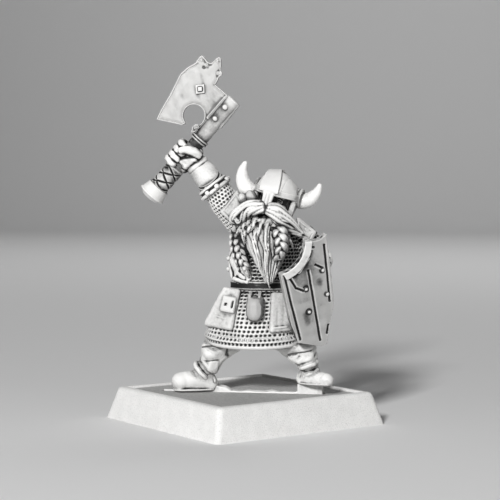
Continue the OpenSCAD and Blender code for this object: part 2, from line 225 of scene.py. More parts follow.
@dataclass
class Putty:
    """A lump of modelling putty: closed shapes that are fused into one skin."""

    place: Matrix = None

    def __post_init__(self) -> None:
        """Starts with an empty lump."""
        self.bm = bmesh.new()
        self.place = self.place or UNTURNED

    def ball(self, at: Point, radius: float, stretch: Point = (1, 1, 1), spin: Matrix = UNTURNED) -> None:
        """Adds a ball, stretched along its own axes and then turned by spin."""
        shape = Matrix.Diagonal((*stretch, 1))
        bmesh.ops.create_uvsphere(self.bm, u_segments=28, v_segments=16, radius=radius,
                                  matrix=self.place @ Matrix.Translation(at) @ spin @ shape)

    def drum(self, at: Point, radius: float, height: float, top: float = None, spin: Matrix = UNTURNED,
             segments: int = 40, bevel: float = 0.0) -> None:
        """Adds a cylinder or cone, centred at a place, with its rims bevelled.

        Args:
            at: the middle of the drum.
            radius: at its foot.
            height: along its own Z.
            top: the radius at its head, if not the same.
            spin: turns the drum about its middle.
            segments: flats round the drum.
            bevel: how much of each rim is rounded off.
        """
        made = bmesh.ops.create_cone(
            self.bm, cap_ends=True, segments=segments, radius1=radius,
            radius2=radius if top is None else top, depth=height,
            matrix=self.place @ Matrix.Translation(at) @ spin)["verts"]
        if bevel:
            rims = {e for v in made for e in v.link_edges if any(len(f.verts) > 4 for f in e.link_faces)}
            rounded(self.bm, rims, bevel)

    def block(self, at: Point, size: Point, bevel: float = 0.1) -> None:
        """Adds a box with rounded edges, centred at a place."""
        shape = self.place @ Matrix.Translation(at) @ Matrix.Diagonal((*size, 1))
        made = bmesh.ops.create_cube(self.bm, size=1, matrix=shape)["verts"]
        rounded(self.bm, {e for v in made for e in v.link_edges}, bevel)

    def strand(self, points: Line, away: Point = None, up: Point = (0, -1, 0), around: int = 14,
               rings: int = 26, flat: float = 1.0, lobes: int = 0, lobe_depth: float = 0.0,
               square: float = 1.0, round_ends: float = 0.12, twist: float = 0.0) -> None:
        """Adds a tube along a smooth line.

        Args:
            points: rows of x, y, z and radius along the line.
            away: a place that the tube's flat side faces away from.
            up: the way that the flat side faces, where away is not given.
            around: vertices in each ring.
            rings: rings along the line.
            flat: thickness over width.
            lobes: grooves between rounded ridges round the tube.
            lobe_depth: depth of those grooves as a share of the radius.
            square: below 1, squares the section off.
            round_ends: share of the line over which each end closes.
            twist: turns of the section along the line.
        """
        line = smooth_line(points, rings)
        core, radius = line[:, :3], line[:, 3]
        run = np.linspace(0, 1, rings)
        near = np.minimum(run, 1 - run)
        close = np.sqrt(np.clip(1 - (1 - np.clip(near / max(round_ends, 1e-4), 0, 1))**2, 0, 1))
        ahead = np.gradient(core, axis=0)
        ahead /= np.linalg.norm(ahead, axis=1)[:, None]
        face = core - np.array(away) if away is not None else np.tile(np.array(up, float), (rings, 1))
        face = face - (face * ahead).sum(axis=1)[:, None] * ahead
        face /= np.linalg.norm(face, axis=1)[:, None]
        side = np.cross(face, ahead)
        angle = np.linspace(0, 2 * math.pi, around, endpoint=False)
        cos, sin = np.cos(angle), np.sin(angle)
        if square != 1.0:
            cos, sin = np.sign(cos) * np.abs(cos)**square, np.sign(sin) * np.abs(sin)**square
        swell = np.ones((rings, around))
        if lobes:
            swell -= lobe_depth * (
                1 - np.abs(np.cos(0.5 * lobes * (angle[None] + 2 * math.pi * twist * run[:, None]))))
        size = (radius * close)[:, None] * swell
        rim = (core[:, None] + size[..., None] * (cos[None, :, None] * side[:, None]
                                                  + flat * sin[None, :, None] * face[:, None]))
        wrap(self.bm, moved(rim.reshape(-1, 3), self.place).reshape(rim.shape))

    def hull(self, balls: Line) -> None:
        """Adds one convex skin over balls, each given as x, y, z and radius."""
        lump = bmesh.new()
        for ball in balls:
            bmesh.ops.create_icosphere(lump, subdivisions=3, radius=float(ball[3]),
                                       matrix=self.place @ Matrix.Translation(ball[:3]))
        inner = bmesh.ops.convex_hull(lump, input=lump.verts[:], use_existing_faces=False)
        spare = {v for v in inner["geom_interior"] + inner["geom_unused"] if isinstance(v, BMVert)}
        bmesh.ops.delete(lump, geom=list(spare), context="VERTS")
        self.add(lump)

    def add(self, lump: BMesh) -> None:
        """Takes over the shapes of another bmesh, which is used up."""
        loose = as_mesh(lump, "lump")
        self.bm.from_mesh(loose)
        bpy.data.meshes.remove(loose)

    def hoop(self, at: Point, half: tuple[float, float], thick: float, tall: float = None, square: float = 1.0,
             steps: int = 72) -> None:
        """Adds a ring round its own Z.

        Args:
            at: the middle of the ring.
            half: its half width and half depth, to the middle of its section.
            thick: half of the section's thickness.
            tall: half of the section's height, if not the same.
            square: below 1, squares the section off.
            steps: sections round the ring.
        """
        rim = bmesh.ops.create_circle(self.bm, cap_ends=False, segments=16, radius=1)["verts"]
        for vert in rim:
            x, y = vert.co[:2]
            vert.co = (half[0] + thick * math.copysign(abs(x)**square, x), 0,
                       (tall or thick) * math.copysign(abs(y)**square, y))
        edges = list({e for v in rim for e in v.link_edges})
        before = set(self.bm.verts) - set(rim)
        bmesh.ops.spin(self.bm, geom=edges, cent=(0, 0, 0), axis=(0, 0, 1), dvec=(0, 0, 0), angle=2 * math.pi,
                       steps=steps, use_merge=True)
        made = [v for v in self.bm.verts if v not in before]
        for vert in made:
            x, y = vert.co[:2]
            far = math.hypot(x, y)
            vert.co.y = y / far * (half[1] + far - half[0])
        bmesh.ops.transform(self.bm, matrix=self.place @ Matrix.Translation(at), verts=made)

    def plate(self, outline: Line, low: float, high: float, bevel: float = 0.0) -> None:
        """Adds a flat plate cut to an outline.

        Args:
            outline: its corners as x and z, in order.
            low: the plate's back, along -Y of its own frame.
            high: the plate's face, along -Y of its own frame.
            bevel: how much of each edge is rounded off.
        """
        corners = [self.bm.verts.new((x, -low, z)) for x, z in outline]
        face = self.bm.faces.new(corners)
        top = corners_of(bmesh.ops.extrude_face_region(self.bm, geom=[face]))
        bmesh.ops.translate(self.bm, verts=top, vec=(0, low - high, 0))
        made = corners + top
        if bevel:
            done = rounded(self.bm, {e for v in made for e in v.link_edges}, bevel, 2)
            made = list({v for f in done["faces"] for v in f.verts} | {v for v in made if v.is_valid})
        bmesh.ops.transform(self.bm, matrix=self.place, verts=made)

    def cut(self, at: Point, normal: Point) -> None:
        """Slices off everything on the normal's side of a plane and closes the cut."""
        whole = self.bm.verts[:] + self.bm.edges[:] + self.bm.faces[:]
        bmesh.ops.bisect_plane(self.bm, geom=whole, plane_co=at, plane_no=normal, clear_outer=True)
        bmesh.ops.holes_fill(self.bm, edges=[e for e in self.bm.edges if e.is_boundary], sides=0)

    def mesh(self) -> Mesh:
        """Returns the shapes as they are, with their faces turned outwards."""
        bmesh.ops.recalc_face_normals(self.bm, faces=self.bm.faces)
        return as_mesh(self.bm, "putty")

    def fused(self, voxel: float, relax: int) -> Mesh:
        """Fuses the shapes into one skin.

        Args:
            voxel: size of the smallest detail that is kept, in millimetres.
            relax: rounds of smoothing after the shapes are fused.

        Returns:
            The fused mesh, still in millimetres.
        """
        lump = shown("putty", self.mesh())
        skin = lump.modifiers.new("skin", "REMESH")
        skin.mode, skin.voxel_size = "VOXEL", voxel
        thumb = lump.modifiers.new("thumb", "SMOOTH")
        thumb.factor, thumb.iterations = 0.5, relax
        graph = bpy.context.evaluated_depsgraph_get()
        fused = bpy.data.meshes.new_from_object(lump.evaluated_get(graph))
        loose = lump.data
        bpy.data.objects.remove(lump)
        bpy.data.meshes.remove(loose)
        return fused


def read_points(mesh: Mesh, field: str = "co") -> Array:
    """Returns each vertex's place, or its normal, as an array of shape (n, 3)."""
    flat = np.empty(len(mesh.vertices) * 3)
    mesh.vertices.foreach_get(field, flat)
    return flat.reshape(-1, 3)


def press(mesh: Mesh, depth: Relief, place: Matrix = UNTURNED) -> Mesh:
    """Works relief into a mesh along its normals.

    Args:
        mesh: in millimetres; it is changed.
        depth: given places and normals in the place's own frame, returns how far each vertex rises.
        place: the frame in which the relief is described.

    Returns:
        The same mesh.
    """
    points, normals = read_points(mesh), read_points(mesh, "normal")
    back = place.inverted()
    rise = depth(moved(points, back), normals @ np.array(back)[:3, :3].T)
    mesh.vertices.foreach_set("co", (points + rise[:, None] * normals).ravel())
    mesh.update()
    return mesh


def hollows(points: Array, normals: Array, edges: Array, rounds: int) -> Array:
    """How far each vertex lies below its surroundings, in millimetres; ridges are negative."""
    count = len(points)
    a, b = edges[:, 0], edges[:, 1]
    ties = np.maximum(np.bincount(a, minlength=count) + np.bincount(b, minlength=count), 1)
    soft = points.copy()
    for _ in range(rounds):
        pull = np.column_stack([np.bincount(a, soft[b, k], count) + np.bincount(b, soft[a, k], count)
                                for k in range(3)])
        soft = 0.5 * soft + 0.5 * pull / ties[:, None]
    return ((soft - points) * normals).sum(axis=1)


# ---- finishes ----


class Socket(Enum):
    """The kinds of socket that the shared effects use."""

    VALUE = "NodeSocketFloat"
    COLOR = "NodeSocketColor"
    VECTOR = "NodeSocketVector"


class Wiring:
    """Adds nodes to a shader tree and joins them."""

    def __init__(self, tree: bpy.types.NodeTree) -> None:
        """Takes the tree that the nodes go into."""
        self.tree = tree

    def node(self, kind: str, **settings: object) -> bpy.types.Node:
        """Adds a node and sets its properties."""
        made = self.tree.nodes.new(kind)
        for label, value in settings.items():
            setattr(made, label, value)
        return made

    def join(self, source: object, target: NodeSocket) -> None:
        """Links a socket, or sets a plain value."""
        if isinstance(source, NodeSocket):
            self.tree.links.new(source, target)
        else:
            target.default_value = source

    def math(self, operation: str, *values: object) -> NodeSocket:
        """Adds a Math node and returns its output."""
        made = self.node("ShaderNodeMath", operation=operation)
        for value, target in zip(values, made.inputs):
            self.join(value, target)
        return made.outputs[0]

    def ramp(self, value: object, low: object, high: object) -> NodeSocket:
        """Rises smoothly from 0 at low to 1 at high."""
        made = self.node("ShaderNodeMapRange", interpolation_type="SMOOTHSTEP")
        for source, label in ((value, "Value"), (low, "From Min"), (high, "From Max")):
            self.join(source, made.inputs[label])
        return made.outputs["Result"]

    def mix(self, factor: object, first: object, second: object) -> NodeSocket:
        """Mixes two colours and returns the result."""
        made = self.node("ShaderNodeMix", data_type="RGBA")
        for source, target in ((factor, made.inputs[0]), (first, made.inputs[6]), (second, made.inputs[7])):
            self.join(source, target)
        return made.outputs[2]

    def noise(self, place: object, scale: object, detail: float = 3, rough: float = 0.55) -> NodeSocket:
        """Adds a noise and returns its value."""
        made = self.node("ShaderNodeTexNoise")
        made.inputs["Detail"].default_value = detail
        made.inputs["Roughness"].default_value = rough
        self.join(place, made.inputs["Vector"])
        self.join(scale, made.inputs["Scale"])
        return made.outputs[0]


class Effect(Wiring):
    """A shader node group that is built once and placed in each paint."""

    def __init__(self, name: str, inputs: Sequence[tuple], outputs: Sequence[tuple]) -> None:
        """Makes the group and its sockets.

        Args:
            name: the group's name.
            inputs: each a name, a Socket and a value.
            outputs: each a name and a Socket.
        """
        super().__init__(bpy.data.node_groups.new(name, "ShaderNodeTree"))
        for label, kind, value in inputs:
            made = self.tree.interface.new_socket(name=label, in_out="INPUT", socket_type=kind.value)
            made.default_value = value
        for label, kind in outputs:
            self.tree.interface.new_socket(name=label, in_out="OUTPUT", socket_type=kind.value)
        self.into = self.tree.nodes.new("NodeGroupInput").outputs
        self.out = self.tree.nodes.new("NodeGroupOutput").inputs


def primer_effect() -> Effect:
    """Sprayed primer: a fine pebbled film with faint uneven cover."""
    made = Effect("sprayed primer", [("Place", Socket.VECTOR, (0, 0, 0)), ("Grain per mm", Socket.VALUE, 9.0),
                                     ("Cover per mm", Socket.VALUE, 0.7)],
                  [("Height", Socket.VALUE), ("Cover", Socket.VALUE), ("Speckle", Socket.VALUE)])
    fine = made.noise(made.into["Place"], made.into["Grain per mm"], 4, 0.6)
    broad = made.noise(made.into["Place"], made.into["Cover per mm"], 3, 0.5)
    dots = made.node("ShaderNodeTexVoronoi")
    made.join(made.into["Place"], dots.inputs["Vector"])
    made.join(made.math("MULTIPLY", made.into["Grain per mm"], 0.8), dots.inputs["Scale"])
    made.join(made.math("ADD", fine, made.math("MULTIPLY", dots.outputs["Distance"], 0.35)), made.out["Height"])
    made.join(made.ramp(broad, 0.35, 0.65), made.out["Cover"])
    made.join(made.ramp(fine, 0.5, 0.72), made.out["Speckle"])
    return made


def ink_and_shade_effect() -> Effect:
    """Dark wash that runs into the hollows, with painted shade on the same mask, drying to a soft, uneven edge."""
    made = Effect("settled ink", [("Place", Socket.VECTOR, (0, 0, 0)), ("Hollow", Socket.VALUE, 0.0),
                                  ("Strength", Socket.VALUE, 1.0), ("Paint", Socket.COLOR, (1, 1, 1, 1)),
                                  ("Ink", Socket.COLOR, (0, 0, 0, 1))],
                  [("Color", Socket.COLOR), ("Mask", Socket.VALUE)])
    tide = made.noise(made.into["Place"], 3.5, 3, 0.6)
    uneven = made.math("MULTIPLY", made.math("SUBTRACT", tide, 0.5), 0.35)
    deep = made.ramp(made.math("ADD", made.into["Hollow"], uneven), 0.12, 0.92)
    mask = made.math("MULTIPLY", deep, made.into["Strength"])
    made.join(made.mix(mask, made.into["Paint"], made.into["Ink"]), made.out["Color"])
    made.join(mask, made.out["Mask"])
    return made


def edge_effect() -> Effect:
    """Painted highlight on ridges and edges, laid on like a dry brush that catches in broken streaks."""
    made = Effect("brushed edges", [("Place", Socket.VECTOR, (0, 0, 0)), ("Ridge", Socket.VALUE, 0.0),
                                    ("Amount", Socket.VALUE, 0.5)], [("Mask", Socket.VALUE)])
    broken = made.noise(made.into["Place"], 5.0, 4, 0.65)
    edge_mask = made.ramp(made.math("ADD", made.into["Ridge"], made.math("MULTIPLY", broken, 0.3)), 0.35, 0.85)
    made.join(made.math("MULTIPLY", edge_mask, made.into["Amount"]), made.out["Mask"])
    return made


class Effects:
    """The shared effects, each built the first time that a paint asks for it."""

    built: dict[str, Effect] = {}
    makers: dict[str, Callable[[], Effect]] = {"primer": primer_effect, "ink_and_shade": ink_and_shade_effect, "edge": edge_effect}

    @classmethod
    def get(cls, name: str) -> Effect:
        """Returns the named effect."""
        if name not in cls.built:
            cls.built[name] = cls.makers[name]()
        return cls.built[name]


@dataclass(frozen=True)
class Paint:
    """One painted finish.

    Attributes:
        name: the finish, in a painter's words.
        slot: the record's material slot for the finish; not used.
        tone: brightness of the top coat.
        ink_and_shade: brightness of the dark wash and painted shade in its hollows.
        ink_and_shade_strength: how fully that wash and painted shade cover.
        edge_highlight: how strongly ridges and edges take a painted highlight.
        rough: roughness of the film.
        grain: grains of the film per millimetre.
        bump: height of those grains in millimetres.
        speckle: brightness of the grains as a share of the coat's.
        cover: how far the top coat's brightness wanders.
        metallic: 1 for bare metal.
    """

    name: str
    slot: str
    tone: float = 0.8
    ink_and_shade: float = 0.008
    ink_and_shade_strength: float = 1.0
    edge_highlight: float = 0.4
    rough: float = 0.6
    grain: float = 9.0
    bump: float = 0.012
    speckle: float = 0.93
    cover: float = 0.06
    metallic: float = 0.0

    def material(self) -> bpy.types.Material:
        """Returns the finish as a material, built once."""
        known = bpy.data.materials.get(self.name)
        if known:
            return known
        material = bpy.data.materials.new(self.name)
        material.use_nodes = True
        work = Wiring(material.node_tree)
        shader = work.tree.nodes["Principled BSDF"].inputs
        shader["Metallic"].default_value = self.metallic
        shader["Specular IOR Level"].default_value = 0.42
        place = work.node("ShaderNodeMapping")
        place.inputs["Scale"].default_value = (1000, 1000, 1000)
        work.join(work.node("ShaderNodeTexCoord").outputs["Object"], place.inputs["Vector"])

        def placed(effect: str, **values: object) -> bpy.types.bpy_prop_collection:
            """Places a shared effect with its own values and returns its outputs."""
            node = work.node("ShaderNodeGroup", node_tree=Effects.get(effect).tree)
            work.join(place.outputs[0], node.inputs["Place"])
            for label, value in values.items():
                work.join(value, node.inputs[label.replace("_", " ")])
            return node.outputs

        def grey(value: float) -> tuple[float, float, float, float]:
            """A barely warm grey."""
            return value, value * 0.995, value * 0.98, 1

        hollow, ridge, nook = (work.node("ShaderNodeAttribute", attribute_name=field).outputs["Fac"]
                               for field in ("hollow", "ridge", "nook"))
        primer = placed("primer", Grain_per_mm=self.grain)
        coat = work.mix(primer["Cover"], grey(self.tone * (1 - self.cover)), grey(self.tone))
        coat = work.mix(primer["Speckle"], coat, grey(self.tone * self.speckle))
        # Hollows and crowded corners add up to one mask of dark wash and painted shade.
        gathered = work.math("ADD", hollow, nook)
        gathered.node.use_clamp = True
        inked_and_shaded = placed("ink_and_shade", Hollow=gathered, Strength=self.ink_and_shade_strength, Paint=coat, Ink=grey(self.ink_and_shade))
        # Ridges and edges take a painted highlight: a lighter colour is mixed on top.
        highlight_mask = placed("edge", Ridge=ridge, Amount=self.edge_highlight)
        highlighted = work.mix(highlight_mask["Mask"], inked_and_shaded["Color"], grey(min(0.93, self.tone * 1.25)))
        work.join(highlighted, shader["Base Color"])
        sheen = work.node("ShaderNodeMapRange")
        for source, label in (
                (primer["Cover"], "Value"), (self.rough - 0.08, "To Min"), (self.rough + 0.1, "To Max")):
            work.join(source, sheen.inputs[label])
        work.join(sheen.outputs["Result"], shader["Roughness"])
        relief = work.node("ShaderNodeBump")
        for source, label in ((0.6, "Strength"), (self.bump * 0.001, "Distance"), (primer["Height"], "Height")):
            work.join(source, relief.inputs[label])
        work.join(relief.outputs["Normal"], shader["Normal"])
        return material


class Paints:
    """Every finish on the miniature."""

    BASE = Paint(
        "pale grey base coat", "base_plastic", tone=0.84, ink_and_shade=0.10, ink_and_shade_strength=0.8, edge_highlight=0.3, rough=0.7,
        grain=8, bump=0.10, speckle=0.74, cover=0.05)
    CASTING = Paint(
        "primed cast tab", "bare_white_metal", tone=0.8, ink_and_shade=0.03, ink_and_shade_strength=0.9, rough=0.55, bump=0.03,
        grain=4)
    METAL = Paint(
        "bare white metal", "bare_white_metal", tone=0.62, ink_and_shade=0.10, ink_and_shade_strength=0.5, rough=0.34, metallic=1.0)
    STEEL = Paint("primed plate", "primed_steel", tone=0.76, rough=0.46, edge_highlight=0.5, grain=8, bump=0.008)
    HEM = Paint("inked hem", "primed_mail", tone=0.82, rough=0.5, edge_highlight=0.6)
    BLADE = Paint(
        "primed blade", "primed_steel", tone=0.55, ink_and_shade=0.02, ink_and_shade_strength=0.8, rough=0.46, edge_highlight=0.8, grain=6,
        cover=0.14)
    HORN = Paint("primed horn", "primed_horn", tone=0.88, rough=0.42, edge_highlight=0.3, bump=0.006)
    MAIL = Paint("inked mail", "primed_mail", tone=0.86, rough=0.5, edge_highlight=0.9)
    LEATHER = Paint("primed leather", "primed_leather", tone=0.86, rough=0.58, edge_highlight=0.5, grain=6, bump=0.016)
    DARK_LEATHER = Paint("shaded leather", "primed_leather", tone=0.46, rough=0.58, edge_highlight=0.8, grain=6, bump=0.016)
    CLOTH = Paint("primed cloth", "primed_cloth", tone=0.87, ink_and_shade=0.03, ink_and_shade_strength=0.9, rough=0.68, grain=11)
    SKIN = Paint("primed skin", "primed_skin", tone=0.82, rough=0.55, bump=0.006)
    HAIR = Paint("inked hair", "primed_hair", tone=0.84, rough=0.55, edge_highlight=0.5)
    HAFT = Paint("primed haft", "primed_wood", tone=0.64, rough=0.55, edge_highlight=0.7, grain=3, bump=0.014, cover=0.3)
    BAG = Paint("primed bag leather", "primed_leather", tone=0.74, rough=0.58, edge_highlight=0.9, grain=6, bump=0.016)
    WOOD = Paint("shaded wood", "primed_wood", tone=0.52, rough=0.58, edge_highlight=0.6, grain=5, bump=0.016, cover=0.12)
    # The board's low tone is painted shade for a face that tips down, away from the light.
    BOARD = Paint("grey shield face", "primed_wood", tone=0.42, rough=0.62, edge_highlight=1.0, grain=5,
                  bump=0.016, cover=0.08)


def settle(name: str, mesh: Mesh, paint: Paint, fine: float = 0.03, broad: float = 0.09,
           shade: Callable[[Array], Array] = None, sharp: float = 0, body: Body = Body.FIGURE) -> None:
    """Finishes a piece and puts it on its body.

    Args:
        name: the piece's name, which is also the frame's node that it stands for.
        mesh: in millimetres.
        paint: its finish.
        fine: depth of a narrow hollow that turns fully dark with wash and painted shade, in millimetres.
        broad: the same for a wide hollow, whose darkening is painted shade.
        shade: given places, returns extra painted shade between 0 and 1.
        sharp: for a piece of few faces, the angle over which edges stay crisp, in degrees.
        body: what it moves with.
    """
    points, normals = read_points(mesh), read_points(mesh, "normal")
    ends = np.empty(len(mesh.edges) * 2, int)
    mesh.edges.foreach_get("vertices", ends)
    ends = ends.reshape(-1, 2)
    span = max(np.median(np.linalg.norm(points[ends[:, 0]] - points[ends[:, 1]], axis=1)), 0.02)
    near = hollows(points, normals, ends, int(np.clip((NARROW / span)**2, 2, 14)))
    wide = hollows(points, normals, ends, int(np.clip((WIDE / span)**2, 6, 90)))
    # Narrow hollows get dark wash with painted shade. Wide hollows and the shade function add painted shade.
    ink_and_shade = np.clip(near / fine, 0, 1) + np.clip(wide / broad, 0, 1)
    if sharp:
        ink_and_shade, near = np.zeros(len(points)), np.zeros(len(points))
    if shade:
        ink_and_shade = ink_and_shade + shade(points)
    for label, value in (("hollow", np.clip(ink_and_shade, 0, 1)), ("ridge", np.clip(-near / fine, 0, 1))):
        mesh.attributes.new(label, "FLOAT", "POINT").data.foreach_set("value", value.astype(np.float32))
    mesh.transform(TO_METRES)
    mesh.shade_smooth()
    if sharp:
        mesh.set_sharp_from_angle(angle=math.radians(sharp))
    mesh.name = name
    piece = shown(name, mesh)
    piece.data.materials.clear()
    piece.data.materials.append(paint.material())
    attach(piece, body.value)
    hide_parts(name)
    log.info("%s: %d faces on %s, in %s", name, len(mesh.polygons), body.value, paint.name)


@dataclass
class Nooks:
    """Painted shade, with some dark wash, where the miniature's parts crowd together.

    The surfaces near each place are counted on a coarse grid. A place with more surface around its
    outer side than a flat one has lies in a crowded corner and takes painted shade.

    Attributes:
        cell: side of a cell of the grid.
        margin: empty room round the miniature.
        fewest: a piece with fewer vertices takes no painted shade.
        reach: rows of blur in cells, distance out, share where the shade starts, share where it is full, strength.
        shares: how much painted shade a piece takes, by a word in its name.
    """

    cell: float = 0.25
    margin: float = 8.0
    fewest: int = 2000
    reach: Sequence[tuple] = ((1, 0.45, 1.25, 2.3, 0.55), (5, 1.6, 1.2, 2.4, 0.75))
    shares: Sequence[tuple[str, float]] = (
        ("helmet_brow", 0.4), ("helmet", 0.15), ("nasal", 0.1), ("cheek_guard", 0.35), ("axe_head", 0.3),
        ("boot", 0.4), ("gauntlet", 0.6), ("fist", 0.7), ("trouser", 0.5), ("head", 0.6), ("mail", 0.35),
        ("torso", 0.6), ("collar", 0.5), ("horn", 0.3), ("satchel", 0.45), ("vest", 0.4), ("pauldron", 0.5),
        ("haft", 0.5), ("tasset", 0.5), ("shield_rim", 0.3), ("moustache", 0.6), ("pouch", 0.8),
        ("cast_tab", 0.3), ("beard", 0.35), ("braid", 0.7))

    def blurred(self, grid: Array, half: int) -> Array:
        """Blurs a grid three times with a box of 2 * half + 1 cells."""
        for _ in range(3):
            for axis in range(3):
                total = np.cumsum(grid, axis=axis)
                ahead = np.roll(total, -half, axis=axis)
                behind = np.roll(total, half + 1, axis=axis)
                grid = (ahead - behind) / (2 * half + 1)
        return grid

    def settle(self, pieces: Sequence[bpy.types.Object]) -> None:
        """Writes each piece's share of painted shade."""
        spots, ways, weights = [], [], []
        for piece in pieces:
            mesh = piece.data
            area = np.empty(len(mesh.polygons))
            mesh.polygons.foreach_get("area", area)
            spots.append(read_points(mesh) * 1000)
            ways.append(read_points(mesh, "normal"))
            weights.append(np.full(len(mesh.vertices), area.sum() * 1e6 / len(mesh.vertices)))
        every = np.vstack(spots)
        low = every.min(axis=0) - self.margin
        shape = tuple(np.ceil((every.max(axis=0) + self.margin - low) / self.cell).astype(int))
        cells = ((every - low) / self.cell).astype(int)
        grid = np.bincount(np.ravel_multi_index(cells.T, shape), np.concatenate(weights), int(np.prod(shape)))
        fields = [(self.blurred(grid.reshape(shape), half), *rest) for half, *rest in self.reach]
        for piece, points, normals in zip(pieces, spots, ways):
            ink_and_shade = np.zeros(len(points))
            for field, out, start, full, strength in fields:
                here = (points + normals * out - low) / self.cell
                base = np.floor(here - 0.5).astype(int)
                part = here - 0.5 - base
                found = np.zeros(len(points))
                for corner in np.ndindex(2, 2, 2):
                    step = np.array(corner)
                    share = np.prod(np.where(step, part, 1 - part), axis=1)
                    found += share * field[tuple((base + step).T)]
                # More surface than a flat place has means a crowded corner, which gets painted shade.
                ink_and_shade += strength * ease(start, full, found / self.flat(out))
            if len(points) < self.fewest:
                ink_and_shade *= 0
            ink_and_shade *= next((share for word, share in self.shares if word in piece.name), 1.0)
            piece.data.attributes.new("nook", "FLOAT", "POINT").data.foreach_set(
                "value", np.clip(ink_and_shade, 0, 1).astype(np.float32))
        log.info("ink pooled on %d pieces", len(pieces))

    def flat(self, out: float) -> float:
        """How much of its own surface a flat place would find at that distance."""
        half = next(row[0] for row in self.reach if row[1] == out)
        spread = self.cell * math.sqrt(((2 * half + 1)**2 - 1) / 4)
        return self.cell**2 * math.exp(-0.5 * (out / spread)**2) / (spread / self.cell * math.sqrt(2 * math.pi))


# ---- the base and the tab ----


@dataclass
class SlottedBase:
    """The hollow square base with a dished top and a slot for the tab."""

    bottom: float = 25.0
    top: float = 22.8
    height: float = 3.9
    corner: float = 0.7
    lip: float = 0.85
    dish: float = 0.3
    wall: float = 1.3
    hollow: float = 2.4
    slot: tuple[float, float] = (20.4, 1.5)

    def build(self) -> Mesh:
        """Models the base as a leaning block, dished above and hollowed below."""
        bm = bmesh.new()
        bmesh.ops.create_cube(bm, size=1, matrix=Matrix.Translation((0, 0, self.height / 2))
                              @ Matrix.Diagonal((self.bottom, self.bottom, self.height, 1)))
        upper = [v for v in bm.verts if v.co.z > self.height / 2]
        bmesh.ops.scale(bm, verts=upper, vec=(self.top / self.bottom, self.top / self.bottom, 1))
        posts = [e for e in bm.edges if abs(e.verts[0].co.z - e.verts[1].co.z) > 1]
        rounded(bm, posts, self.corner, 5)
        brim = [e for e in bm.edges if all(v.co.z > self.height - 0.01 for v in e.verts)]
        rounded(bm, brim, 0.42, 4)
        for depth, edge, fall in ((0.2, self.height, 0.0), (self.lip - 0.62, self.height, 0.0),
                                  (0.12, self.height, self.dish / 2),
                                  (0.16, self.height - self.dish / 2, self.dish / 2)):
            deck = [f for f in bm.faces if f.normal.z > 0.99 and abs(f.calc_center_median().z - edge) < 0.02]
            deck = [max(deck, key=lambda f: f.calc_area())]
            bmesh.ops.inset_region(bm, faces=deck, thickness=depth, depth=0, use_even_offset=True)
            bmesh.ops.translate(bm, verts=deck[0].verts, vec=(0, 0, -fall))
            bmesh.ops.remove_doubles(bm, verts=deck[0].verts, dist=0.2)
            bm.normal_update()
        under = [max((f for f in bm.faces if f.normal.z < -0.99), key=lambda f: f.calc_area())]
        bmesh.ops.inset_region(bm, faces=under, thickness=self.wall, depth=0, use_even_offset=True)
        roof = corners_of(bmesh.ops.extrude_face_region(bm, geom=under))
        bmesh.ops.delete(bm, geom=[f for f in under if f.is_valid], context="FACES_ONLY")
        bmesh.ops.translate(bm, verts=roof, vec=(0, 0, self.hollow))
        bmesh.ops.rotate(bm, verts=bm.verts, matrix=Matrix.Rotation(math.radians(45), 3, "Z"))
        self.slotted(bm)
        bmesh.ops.recalc_face_normals(bm, faces=bm.faces)
        return as_mesh(bm, "base")

    def slotted(self, bm: BMesh) -> None:
        """Opens the slot through the deck and softens its upper edge."""
        long, wide = self.slot[0] / 2, self.slot[1] / 2
        for at, way in (((long, 0, 0), (1, 0, 0)), ((-long, 0, 0), (1, 0, 0)), ((0, wide, 0), (0, 1, 0)),
                        ((0, -wide, 0), (0, 1, 0))):
            whole = bm.verts[:] + bm.edges[:] + bm.faces[:]
            bmesh.ops.bisect_plane(bm, geom=whole, plane_co=at, plane_no=way)
        opened = [f for f in bm.faces if abs(f.calc_center_median().x) < long
                  and abs(f.calc_center_median().y) < wide and abs(f.calc_center_median().z) > 1]
        bmesh.ops.delete(bm, geom=opened, context="FACES")
        bmesh.ops.bridge_loops(bm, edges=[e for e in bm.edges if e.is_boundary])
        lips = [e for e in bm.edges if e.calc_face_angle(0) > 1 and e.verts[0].co.z > self.height - 0.5
                and all(abs(v.co.x) < long + 0.01 and abs(v.co.y) < wide + 0.01 for v in e.verts)]
        rounded(bm, lips, 0.1)

    def dress(self) -> None:
        """Settles the base."""
        # The deck at the dish's floor gets painted shade, darker than the lit sides.
        settle("slotted_base", self.build(), Paints.BASE, sharp=25, body=Body.BASE,
               shade=lambda points: 0.6 * (abs(points[:, 2] - self.height + self.dish) < 0.05))


@dataclass
class CastTab:
    """The tab that plugs into the slot, with its casting gate and the left foot's riser."""

    start: float = -5.7
    end: float = 9.9
    thickness: float = 1.36
    low: float = 0.6
    top: float = 3.75

    def build(self) -> Mesh:
        """Models the tab with the slight unevenness of a hand-trimmed casting."""
        putty = Putty()
        middle, length = (self.start + self.end) / 2, self.end - self.start
        putty.block((middle, 0, (self.low + self.top) / 2), (length, self.thickness, self.top - self.low))
        putty.drum((-3.2, 0, 1.5), 2.85, self.thickness, spin=turn(x=90), bevel=0.1)
        putty.block((8.35, 0, 4), (3.1, self.thickness, 1.5))
        putty.cut((0, 0, self.low), (0, 0, -1))
        return press(
            putty.fused(0.1, 2), lambda p, n: np.where(p[:, 2] > 3.4, 0.05 * ripple(p, 1.6, 5), 0.0)
            * (abs(n[:, 2]) > 0.4))

    def dress(self) -> None:
        """Settles the tab."""
        settle("cast_tab", self.build(), Paints.CASTING)


# ---- legs ----


